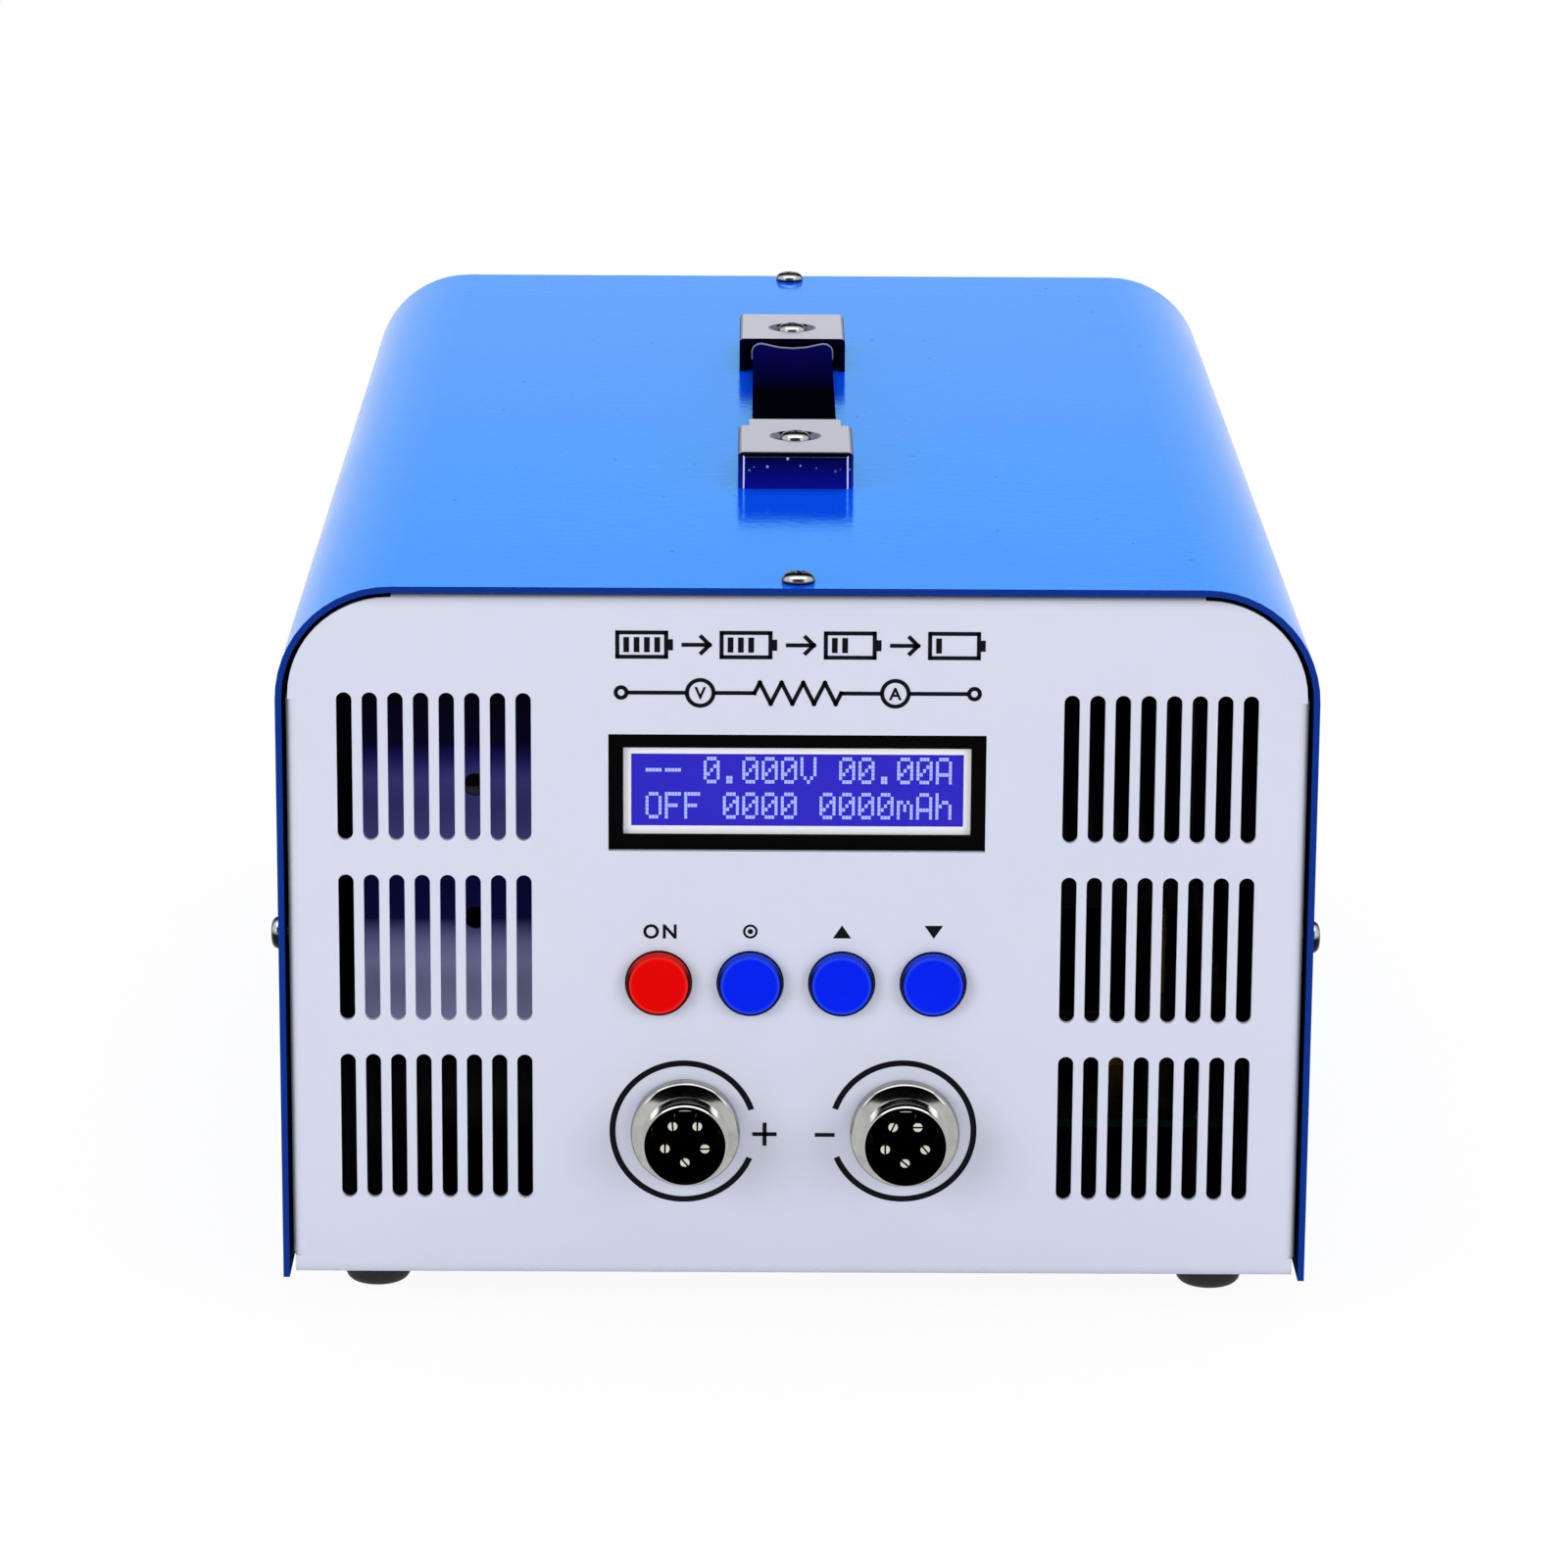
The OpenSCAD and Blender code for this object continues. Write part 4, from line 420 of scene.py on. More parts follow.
# %% Plastics, enamel, rubber and vinyl
BLUER_FROM, BLUER_TO = at(0, 160, 0).y, at(0, 206, 0).y
bezel_black = finish("black stove enamel", "#030304", "#060607", 0.36, blotch=8, grain=0.4,
                     depth=0.006, Specular_IOR_Level=0.02)
insulator = finish("black moulded insulator", "#020203", "#040405", 0.4, blotch=3, grain=0.3,
                   depth=0.006, Specular_IOR_Level=0.0)
moulded_black = finish("black moulded polyamide", "#131416", "#1a1b1e", 0.46, blotch=9,
                       grain=0.35, depth=0.02)
fan_black = finish("black fan polyester", "#0f1012", "#17181b", 0.40, blotch=9, grain=0.35,
                   depth=0.015)
rocker_red = finish("red rocker plastic", "#b00f12", "#bd1518", 0.28, blotch=5, grain=0.6,
                    depth=0.006)
nylon = finish("natural nylon", "#ddd8c9", "#e6e2d5", 0.45, blotch=3, grain=0.3)
rubber = finish("matt black rubber", "#0d0d0e", "#161617", 0.68, blotch=4, grain=0.3, depth=0.03)
vinyl = finish("satin black vinyl", "#010106", "#03030c", 0.4, blotch=14, grain=0.7, depth=0.02,
               Specular_IOR_Level=0.0)
tree, shader, tone, where = parts_of(vinyl)
spot = add(tree, "SeparateXYZ", [where]).outputs
# Painted reflection: the strap turns bluer towards its rear cap.
painted_blue_reflection = add(tree, "MapRange", [spot["Y"], BLUER_FROM, BLUER_TO])
paint_over(tree, shader, tone, (painted_blue_reflection, "#06064a"))
# Painted highlight: the pale vinyl of the fold at the rear cap.
welt = finish("vinyl fold with a painted highlight", "#66668c", "#7d7da0", 0.45, blotch=3, grain=0.4)
red_wire = finish("red silicone insulation", "#b1150f", "#c01b14", 0.42, blotch=5, grain=0.4)
black_wire = finish("black silicone insulation", "#0c0c0d", "#141416", 0.42, blotch=5, grain=0.4)
ribbon = finish("grey ribbon cable", "#84868c", "#92949a", 0.45, blotch=5, grain=0.6, depth=0.02)
sleeve = finish("dark shrink sleeve", "#151a2b", "#1c2237", 0.32, blotch=6)
fuse_glass = finish("glass and plated cap", "#c9ccd0", "#dfe1e4", 0.15, blotch=3, depth=0.004,
                    Metallic=0.7)
print("finishes", len(bpy.data.materials))

# %% [markdown]
# ## Circuit board
# Green solder mask over glass fibre. Copper tracks under the mask show as slightly paler
# straight lines, which the mortar of a brick pattern gives.

# %% Circuit board
TRACKS = 9
board = finish("green solder mask", "#0c3417", "#114020", 0.34, blotch=9)
tree, shader, tone, where = parts_of(board)
track = add(tree, "TexBrick", {"Vector": where, "Scale": every(TRACKS), "Mortar Size": 0.03,
                               "Color1": BLACK, "Color2": BLACK, "Mortar": WHITE})
paint_over(tree, shader, tone, (track, "#1f5a31"))
print(board.name)

# %% [markdown]
# ## Lit display and inks
# The character display is a glass cell in front of a light guide. Its middle glows violet-blue,
# and a pale margin shows round it inside the black frame, lifted by a faint glow that is painted
# light. The margin is cut by position: a point further from the middle than the blue field is
# margin. Inks are matt and nearly even.

# %% Lit display and inks
FIELD_W, FIELD_H, FIELD_X, FIELD_Z = 61.7, 13.8, 0.05, 94.5
lit_face = finish("lit display glass", "#18149e", "#281cac", 0.25, blotch=16, grain=0.6,
                  depth=0.002, Specular_IOR_Level=0.15)
tree, shader, tone, where = parts_of(lit_face)
spot = add(tree, "SeparateXYZ", [where]).outputs


def beyond(output, centre, half):
    """1 where a coordinate is further than half from the centre."""
    off = add(tree, "Math", [output, centre], operation="SUBTRACT")
    size = add(tree, "Math", [off], operation="ABSOLUTE")
    return add(tree, "Math", [size, half], operation="GREATER_THAN")


middle = at(FIELD_X, 0, FIELD_Z)
margin = add(tree, "Math", [beyond(spot["X"], middle.x, FIELD_W / 2 * MM),
                            beyond(spot["Z"], middle.z, FIELD_H / 2 * MM)], operation="MAXIMUM")
paint_over(tree, shader, tone, (margin, "#eceef2"))
# The field glows from the light guide behind it. The margin's faint grey glow is painted light.
glow_and_margin_light = add(tree, "Mix", [margin, tint("#2a20b6"), tint("#6a6a70")], data_type="RGBA")
feed(shader, {"Emission Color": glow_and_margin_light, "Emission Strength": 0.36})
lit_dots = finish("lit display dots", "#98a6f2", "#a6b2f6", 0.4, blotch=6, grain=0.6, depth=0.002,
                  Emission_Color=tint("#98a8f4"), Emission_Strength=0.25)
ink = finish("dark screen ink", "#02030c", "#050612", 0.5, blotch=5, grain=0.4, depth=0.004,
             Specular_IOR_Level=0.1)
white_ink = finish("white pad ink", "#e3e3e0", "#eeeeea", 0.45, blotch=4, grain=0.4, depth=0.004)
print(lit_face.name, "field", FIELD_W, "x", FIELD_H, "mm")

# %% [markdown]
# ## Dress the CAD nodes
# Each node's own material slot takes its finish. Only nodes that stay in view are in this list;
# the others are replaced by pieces further down.

# %% Dress the CAD nodes
wardrobe = {
    cover_paint: "cover",
    panel_paint: "chassis",
    zinc: "foot_screws handle_nuts display_screws small_nuts board_screws socket_nuts "
          "inlet_screws",
    rubber: "feet",
    nickel: "fan_guard",
    cap_nickel: "handle_cap_front handle_cap_rear",
    vinyl: "strap_end_front strap_end_rear",
    bezel_black: "display_frame",
    lit_face: "display_glass",
    board: "display_board control_board load_board",
    nylon: "display_spacers control_spacers",
    moulded_black: "switch_bodies transistors inlet_housing fuse_drawer psu_terminals",
    button_red: "button_on",
    button_blue: "button_set button_up button_down",
    insulator: "socket_insert_positive socket_insert_negative",
    contact: "inlet_blades",
    red_wire: "lead_positive supply_wires",
    black_wire: "lead_negative fan_screws",
    brass: "power_terminals board_pillars sink_pillars",
    anodised: "heatsink",
    sleeve: "capacitors",
    shunt_alloy: "current_shunt",
    supply_sheet: "psu_case psu_cover",
    bracket_sheet: "psu_bracket",
    fan_black: "fan_frame fan_rotor",
    ribbon: "control_cable",
    fuse_glass: "fuse",
    rocker_red: "power_rocker",
}
for coat, names in wardrobe.items():
    for name in names.split():
        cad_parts[name].material_slots[0].material = coat
print("dressed", sum(len(names.split()) for names in wardrobe.values()))

# %% [markdown]
# ## From a bmesh to a piece
# Every new mesh is drawn in a bmesh and ends in `piece`: doubles are merged, the walls that
# extrude and spin leave inside a solid are deleted, normals are turned outwards, the finish is
# given, and the piece is set to ride on a body of the frame. A wall inside is easy to find: each
# of its edges has more than two faces.

# %% From a bmesh to a piece


def object_from(name, draft):
    mesh = bpy.data.meshes.new(name)
    draft.to_mesh(mesh)
    draft.free()
    made = bpy.data.objects.new(name, mesh)
    scene.collection.objects.link(made)
    return made


def piece(name, draft, coat, body, stands_for=(), smooth=35):
    bmesh.ops.remove_doubles(draft, verts=draft.verts, dist=1e-7)
    inner = [face for face in draft.faces if all(len(edge.link_faces) > 2 for edge in face.edges)]
    bmesh.ops.delete(draft, geom=inner, context="FACES")
    bmesh.ops.recalc_face_normals(draft, faces=draft.faces)
    made = object_from(name, draft)
    made.data.shade_smooth()
    made.data.set_sharp_from_angle(angle=math.radians(smooth))
    made.data.materials.append(coat)
    if body:
        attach(made, body)
    if stands_for:
        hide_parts(*stands_for)
    print(name, "faces", len(made.data.polygons))
    return made


# %% [markdown]
# These helpers make and join drafts in millimetres. Turned parts are spun from half their
# section, and a cut is Blender's exact boolean, which is safe on closed shapes.

# %% Draft helpers


def moved(draft, matrix):
    bmesh.ops.transform(draft, matrix=matrix, verts=draft.verts)
    return draft


def spun(profile, steps=48, hollow=False):
    """A turned body from (radius, height) pairs, from axis to axis or round a hollow section."""
    draft = bmesh.new()
    points = [draft.verts.new((r, 0, h)) for r, h in profile]
    ahead_of = points[1:] + points[:1] if hollow else points[1:]
    edges = [draft.edges.new(pair) for pair in zip(points, ahead_of)]
    bmesh.ops.spin(draft, geom=points + edges, cent=(0, 0, 0), axis=(0, 0, 1), angle=math.tau,
                   steps=steps, use_merge=True)
    bmesh.ops.remove_doubles(draft, verts=draft.verts, dist=1e-4)
    bmesh.ops.recalc_face_normals(draft, faces=draft.faces)
    return draft


def block(x0, x1, y0, y1, z0, z1):
    draft = bmesh.new()
    bmesh.ops.create_cube(draft, size=1)
    bmesh.ops.scale(draft, verts=draft.verts, vec=(x1 - x0, y1 - y0, z1 - z0))
    bmesh.ops.translate(draft, verts=draft.verts,
                        vec=((x0 + x1) / 2, (y0 + y1) / 2, (z0 + z1) / 2))
    return draft


def joined(drafts):
    """One draft that holds all the given ones."""
    whole = bmesh.new()
    for part in drafts:
        swap = bpy.data.meshes.new("swap")
        part.to_mesh(swap)
        part.free()
        whole.from_mesh(swap)
        bpy.data.meshes.remove(swap)
    return whole


def copies(draft, matrices):
    """Repeats a draft once for each matrix."""
    whole = joined([moved(draft.copy(), matrix) for matrix in matrices])
    draft.free()
    return whole


def carved(draft, cutter):
    """The draft with the cutter's shape taken out."""
    stock, tool = object_from("stock", draft), object_from("cutter", cutter)
    change = stock.modifiers.new("cut", "BOOLEAN")
    change.operation, change.object, change.solver = "DIFFERENCE", tool, "EXACT"
    result = bmesh.new()
    result.from_object(stock, bpy.context.evaluated_depsgraph_get())
    bpy.data.objects.remove(stock)
    bpy.data.objects.remove(tool)
    return result


def grown_from(draft, face, step, keep_first):
    """Extrudes a face by a step and returns the new end face."""
    grown = bmesh.ops.extrude_face_region(draft, geom=[face], use_keep_orig=keep_first)["geom"]
    bmesh.ops.translate(draft, verts=[v for v in grown if isinstance(v, bmesh.types.BMVert)],
                        vec=step)
    return next(f for f in grown if isinstance(f, bmesh.types.BMFace))


# %% [markdown]
# ## Pan head screws
# A pan head is pressed: a low dome with a round shoulder and a cross recess that narrows as it
# goes down. The dome is spun from its profile, and the recess is cut by two tapered blades.
# The shank is left plain, because it sits in the sheet.

# %% Pan head screws
HEAD_R, CAP_HEAD_H = 3.1, 2.2


def pan_head(height, shank_r, shank_l):
    shares = [(0, 1), (0.35, 0.985), (0.6, 0.93), (0.8, 0.8), (0.93, 0.58), (0.99, 0.32),
              (1, 0.12), (1, 0)]
    dome = [(HEAD_R * r, height * h) for r, h in shares]
    head = spun(dome + [(shank_r, 0), (shank_r, -shank_l), (0, -shank_l)], 40)
    for angle in (0, 90):
        blade = block(-HEAD_R * 0.56, HEAD_R * 0.56, -HEAD_R * 0.1, HEAD_R * 0.1, height * 0.35,
                      height * 1.3)
        low = [v for v in blade.verts if v.co.z < height * 0.5]
        bmesh.ops.scale(blade, verts=low, vec=(0.45, 0.7, 1))
        head = carved(head, moved(blade, tilt(angle, "Z")))
    return head


case_w, case_l = ((cover_high - cover_low) / MM).xy
case_top = (cover_high.z - floor_under) / MM
TOP_INSET, SIDE_INSET, SIDE_Z = 5.5, 8, 65
screw_places = [place(0, y, case_top, tilt(angle, "Z"))
                for y, angle in ((TOP_INSET, 20), (case_l - TOP_INSET, 65))]
screw_places += [place(side * case_w / 2, y, SIDE_Z, tilt(side * 90, "Y"))
                 for side in (-1, 1) for y in (SIDE_INSET, case_l - SIDE_INSET)]
piece("cover_screw_heads", copies(pan_head(1.9, shank_r=1.5, shank_l=6), screw_places), head_zinc,
      "case", ["cover_screws"])
cap_low, cap_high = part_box("handle_screws")
head_foot = (cap_high.z - floor_under) / MM - CAP_HEAD_H
cap_places = [place(0, (y - front_edge) / MM, head_foot, tilt(angle, "Z"))
              for y, angle in ((cap_low.y + HEAD_R * MM, 12), (cap_high.y - HEAD_R * MM, 50))]
piece("handle_screw_heads", copies(pan_head(CAP_HEAD_H, shank_r=2, shank_l=12.6), cap_places),
      head_zinc, "case", ["handle_screws"])

# %% [markdown]
# ## Strap
# The strap is one length of soft vinyl, about 17 mm wide and 4 mm thick, with a raised welt along
# its edges. It bends at three places as it is lifted, so it is modelled as three lengths that meet
# where the links are stiff. A curve with a bevel could make it too, but a section that is drawn
# once and extruded in short steps bends more evenly.

# %% Strap
link_low, link_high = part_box("strap_link_front")
rear_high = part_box("strap_link_rear")[1]
KNUCKLE, BEND, END_LAP = 2 * MM, 5 * MM, 6.5 * MM
hinges = [link_low.y + KNUCKLE, link_high.y - KNUCKLE, rear_high.y - KNUCKLE]
strap_middle_z = (link_low.z + link_high.z) / 2
TOP_LINE = [(-8.5, 0), (-8.54, 1.0), (-8.2, 1.8), (-7.5, 2.3), (-6.6, 2.45), (-5.2, 2.3),
            (-3, 2.1), (0, 2.04), (3, 2.1), (5.2, 2.3), (6.6, 2.45), (7.5, 2.3), (8.2, 1.8),
            (8.54, 1.0), (8.5, 0)]
UNDER_LINE = [(8.5, -1.1), (8.15, -1.75), (7.3, -2.02), (0, -2.02), (-7.3, -2.02),
              (-8.15, -1.75), (-8.5, -1.1)]
HUMP, HUMP_START, HUMP_END = 0.86, 190, 207


def swell(x, y):
    """How far the strap's top is pushed up before its rear cap, least in the middle."""
    rise = min(1, max(0, ((y - front_edge) / MM - HUMP_START) / (HUMP_END - HUMP_START)))
    rise = rise * rise * (3 - 2 * rise)
    return HUMP * rise * (0.3 + 0.7 * min(1, abs(x) / 6.0) ** 2)


def strap_length(start, end, step=2.0):
    """The strap between two Y places in metres, closed at both ends."""
    count = max(2, round((end - start) / MM / step))
    draft = bmesh.new()
    first = front = draft.faces.new([draft.verts.new((x * MM, start, strap_middle_z + z * MM))
                                     for x, z in TOP_LINE + UNDER_LINE])
    for _ in range(count):
        front = grown_from(draft, front, (0, (end - start) / count, 0), front is first)
    for vert in draft.verts:
        if vert.co.z > strap_middle_z + 0.9 * MM:
            vert.co.z += swell(vert.co.x / MM, vert.co.y) * MM
    return draft


cuts = [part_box("strap_end_front")[1].y - END_LAP, (hinges[0] + hinges[1]) / 2,
        (hinges[1] + hinges[2]) / 2, front_edge + (HUMP_END + 0.5) * MM]


def across_hinge(made):
    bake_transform(made)


for i, (part, links) in enumerate((("front", ["strap_link_front"]),
                                   ("middle", ["strap_link_front", "strap_link_rear"]),
                                   ("rear", ["strap_link_rear"]))):
    across_hinge(piece(f"strap_{part}", strap_length(cuts[i], cuts[i + 1]), vinyl, None, links,
                       smooth=50))

# %% [markdown]
# Where the strap meets its rear cap, the vinyl is folded back on itself, and the fold's edge gets
# a pale colour, a painted highlight. It is a thin cord along the top line of the section, swept by
# bridging small rings.

# %% Pale fold at the rear, with a painted highlight
FOLD_Y, FOLD_R = 206.8, 0.32
fold_path = [(x, z + swell(x, front_edge + FOLD_Y * MM) if z > 0.9 else z) for x, z in TOP_LINE]
fold = bmesh.new()
rings = []
for (x, z), before, after in zip(fold_path, fold_path[:1] + fold_path,
                                 fold_path[1:] + fold_path[-1:]):
    lean = math.atan2(after[1] - before[1], after[0] - before[0])
    ring_place = Matrix.Translation((x, FOLD_Y, z)) @ Matrix.Rotation(-lean, 4, "Y")
    ring = bmesh.ops.create_circle(fold, segments=8, radius=FOLD_R,
                                   matrix=ring_place @ tilt(90, "Y"),
                                   cap_ends=len(rings) in (0, len(fold_path) - 1))["verts"]
    rings.append([e for e in {e for v in ring for e in v.link_edges}
                  if all(v in ring for v in e.verts) and len(e.link_faces) < 2])
for one, two in zip(rings, rings[1:]):
    bmesh.ops.bridge_loops(fold, edges=one + two)
moved(fold, Matrix.Translation((0, front_edge, strap_middle_z)) @ Matrix.Scale(MM, 4))
across_hinge(piece("strap_fold", fold, welt, None, smooth=60))

# %% [markdown]
# ## Sockets
# A round panel socket is turned from brass rod and chromed: a thin shell with a 1 mm thread for
# the plug's nut, a stepped flange on the panel, and a key in its mouth that lets the plug in one
# way only. The shell is spun from its section. A bump could suggest the thread, but its edge
# shows, so it is a V ridge spun with a shift. That makes a true helix, and it fades into the
# shell over its first and last half turn, as a cut thread does.

# %% Sections of a socket
SOCKET_Z, RIM_Y, ROUND = 28.6, -8.5, 72
MOUTH_R, BORE_R, ROOT_R, CREST_R, FLANGE_R = 7.3, 6.2, 7.6, 8.1, 10.3
THREAD_PITCH, THREAD_TURNS, THREAD_START = 1.0, 5, -5.6
FLANGE_FOOT, MOUTH_DEPTH = 9.0, 10.5
LIP_R, COLLAR_R = 7.6, 7.88
shell_low, shell_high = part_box("socket_shell_positive")
shell_l = (shell_high.y - shell_low.y) / MM
SHELL = [(MOUTH_R, -MOUTH_DEPTH), (MOUTH_R, -0.3), (LIP_R, -0.3), (LIP_R, -0.03),
         (LIP_R + 0.04, 0), (COLLAR_R - 0.2, 0), (COLLAR_R, -0.2), (COLLAR_R, -0.4),
         (ROOT_R, -0.6), (ROOT_R, -5.72), (CREST_R, -5.86), (9.4, -6.4), (9.8, -6.55),
         (10.12, -6.87), (FLANGE_R, -7.3), (FLANGE_R, -FLANGE_FOOT), (7.85, -FLANGE_FOOT),
         (7.85, -shell_l), (BORE_R, -shell_l), (BORE_R, -MOUTH_DEPTH)]
# A black sleeve over the bore and the inner rim: painted shade, standing in for the dark inside
# the mouth.
SHADE_SLEEVE = [(MOUTH_R - 0.01, -10.4), (MOUTH_R - 0.01, -0.29), (LIP_R - 0.01, -0.29),
         (LIP_R - 0.01, -0.08), (LIP_R - 0.12, -0.02), (MOUTH_R - 0.2, -0.02),
         (MOUTH_R - 0.35, -0.2), (MOUTH_R - 0.35, -10.4)]
print("socket shell", round(shell_l, 2), "mm long")


def thread(root, crest, pitch, turns, start, steps=40):
    draft = bmesh.new()
    ridge = [(root - 0.12, -0.46), (root, -0.44), (crest, -0.08), (crest, 0.08), (root, 0.44),
             (root - 0.12, 0.46)]
    face = draft.faces.new([draft.verts.new((r, 0, start + h * pitch)) for r, h in ridge])
    bmesh.ops.spin(draft, geom=[face], cent=(0, 0, 0), axis=(0, 0, 1),
                   dvec=(0, 0, pitch / steps), angle=math.tau * turns, steps=steps * turns,
                   use_merge=False)
    for vert in draft.verts:
        along = (vert.co.z - start) / pitch
        round_part = math.atan2(vert.co.y, vert.co.x) / math.tau
        turn = round_part + round(along - round_part)
        fade = min(1, max(0, 2 * turn), max(0, 2 * (turns - turn)))
        radius = math.hypot(vert.co.x, vert.co.y)
        if radius > root:
            vert.co.xy *= (root + (radius - root) * fade) / radius
    bmesh.ops.holes_fill(draft, edges=[e for e in draft.edges if e.is_boundary])
    return draft


# %% Threaded shells and dark sleeves of painted shade
socket_xs = {}
for label in ("positive", "negative"):
    low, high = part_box(f"socket_shell_{label}")
    socket_xs[label] = (low.x + high.x) / 2 / MM
    key = block(-1.2, 1.2, MOUTH_R - 0.8, MOUTH_R + 0.2, -MOUTH_DEPTH, -0.8)
    bmesh.ops.bevel(key, geom=key.edges, offset=0.18, segments=2, affect="EDGES", profile=0.5,
                    material=-1)
    shell = joined([spun(SHELL, ROUND, hollow=True),
                    thread(ROOT_R, CREST_R, THREAD_PITCH, THREAD_TURNS, THREAD_START), key])
    socket_place = place(socket_xs[label], RIM_Y, SOCKET_Z, FACING_FRONT)
    piece(f"socket_body_{label}", moved(shell, socket_place), chrome_shell, "case",
          [f"socket_shell_{label}"], smooth=40)
    piece(f"socket_shade_sleeve_{label}", moved(spun(SHADE_SLEEVE, ROUND, hollow=True), socket_place),
          insulator, "case")

# %% [markdown]
# Each contact pin is a round rod with a slit, so that it springs in the plug. Half a rod is cut
# free with a plane and mirrored. The fitter pressed them in at any angle, so each slit is turned.

# %% Contact pins


def pin(radius, length, slit):
    """Half a rod with a domed tip, cut at the slit's wall and mirrored."""
    draft = spun([(0, length), (radius * 0.6, length - 0.03), (radius * 0.88, length - 0.12),
                  (radius, length - 0.34), (radius, 0), (0, 0)], 24)
    geom = draft.verts[:] + draft.edges[:] + draft.faces[:]
    bmesh.ops.bisect_plane(draft, geom=geom, plane_co=(slit / 2, 0, 0), plane_no=(1, 0, 0),
                           clear_inner=True)
    bmesh.ops.holes_fill(draft, edges=[e for e in draft.edges if e.is_boundary])
    geom = draft.verts[:] + draft.edges[:] + draft.faces[:]
    bmesh.ops.mirror(draft, geom=geom, axis="X", merge_dist=-1)
    bmesh.ops.recalc_face_normals(draft, faces=draft.faces)
    return draft


PIN_CIRCLE, PIN_TIP, PIN_ROOT, PIN_R, SLIT = 3.93, -6.5, 2.0, 1.0, 0.36
SLIT_TURNS = {"positive": (40, 0, 5, 0, 90), "negative": (50, 0, -25, 90, 40)}
for label, turns in SLIT_TURNS.items():
    places = []
    for k, turn in enumerate(turns):
        angle = math.radians(90 + 72 * k)
        places.append(place(socket_xs[label] + PIN_CIRCLE * math.cos(angle), PIN_ROOT + 0.01,
                            SOCKET_Z - PIN_CIRCLE * math.sin(angle),
                            FACING_FRONT @ tilt(turn, "Z")))
    piece(f"socket_tips_{label}", copies(pin(PIN_R, PIN_ROOT - PIN_TIP, SLIT), places), contact,
          "case", [f"socket_pins_{label}"])

# %% [markdown]
# ## Screen printing
# The printing is ink a few hundredths of a millimetre thick. Rings, plus and minus are thin solid
# shapes, because a curve or a flat plane would not survive the export as a mesh with thickness.
# Over the display and the buttons stand plain circuit signs. A font's capitals fill 0.72 of its
# size.

# %% Print helpers
INK, SUNK, CAPITAL = 0.05, 0.02, 0.72


def stroke(x0, z0, x1, z1, width):
    """A flat bar of ink between two points of the panel."""
    length = math.hypot(x1 - x0, z1 - z0)
    bar = block(-width / 2, length + width / 2, -INK, SUNK, -width / 2, width / 2)
    return moved(bar, Matrix.Translation((x0, 0, z0))
                 @ Matrix.Rotation(-math.atan2(z1 - z0, x1 - x0), 4, "Y"))


def arc(cx, cz, radius, width, start=0, sweep=360, steps=64):
    """A ring of ink, or part of one, by angles in degrees from the right, upwards."""
    draft = bmesh.new()
    square = [draft.verts.new((radius + r, y, 0)) for r, y in
              ((-width / 2, -INK), (width / 2, -INK), (width / 2, SUNK), (-width / 2, SUNK))]
    face = draft.faces.new(square)
    moved(draft, tilt(-start, "Y"))
    full = sweep == 360
    last = bmesh.ops.spin(draft, geom=[face], cent=(0, 0, 0), axis=(0, -1, 0),
                          angle=math.radians(sweep), steps=steps, use_merge=full)["geom_last"]
    if full:
        ends = [f for f in (face, *last) if f.is_valid and isinstance(f, bmesh.types.BMFace)]
        bmesh.ops.delete(draft, geom=ends, context="FACES_ONLY")
        bmesh.ops.remove_doubles(draft, verts=draft.verts, dist=1e-4)
    bmesh.ops.translate(draft, verts=draft.verts, vec=(cx, 0, cz))
    return draft


def solid_polygon(points):
    draft = bmesh.new()
    face = draft.faces.new([draft.verts.new((x, -INK, z)) for x, z in points])
    grown_from(draft, face, (0, INK + SUNK, 0), True)
    return draft


def words(text, x, z, height, spacing=1.0, weight=0.035):
    """Capitals of a height, centred on x, on a base line at z, a little thickened."""
    curve = bpy.data.curves.new("words", "FONT")
    curve.body, curve.size, curve.align_x = text, height / CAPITAL, "CENTER"
    curve.space_character, curve.offset = spacing, weight * height
    curve.extrude, curve.resolution_u = (INK + SUNK) / 2, 4
    holder = bpy.data.objects.new("words", curve)
    scene.collection.objects.link(holder)
    draft = bmesh.new()
    draft.from_mesh(bpy.data.meshes.new_from_object(holder))
    bpy.data.objects.remove(holder)
    return moved(draft, Matrix.Translation((x, (SUNK - INK) / 2, z)) @ FACING_FRONT)


def printed(name, drafts):
    piece(name, moved(joined(drafts), place(0, panel_face, 0)), ink, "case")


# %% Rings, plus and minus
RING_R, RING_LINE = 13.4, 1.12
GAP_OVER, GAP_UNDER = 18.8, 22.8
OPEN_SWEEP = 360 - GAP_OVER - GAP_UNDER
LINE = 0.75
printed("ring_positive", [arc(-20.9, 28.6, RING_R, RING_LINE, GAP_OVER, OPEN_SWEEP)])
printed("ring_negative", [arc(20.2, 28.8, RING_R, RING_LINE, 180 + GAP_UNDER, OPEN_SWEEP)])
printed("polarity_marks", [stroke(*ends, LINE) for ends in (
    (-7.6, 28.1, -3.8, 28.1), (-5.7, 26.2, -5.7, 30.0), (4.1, 28.0, 7.1, 28.0))])

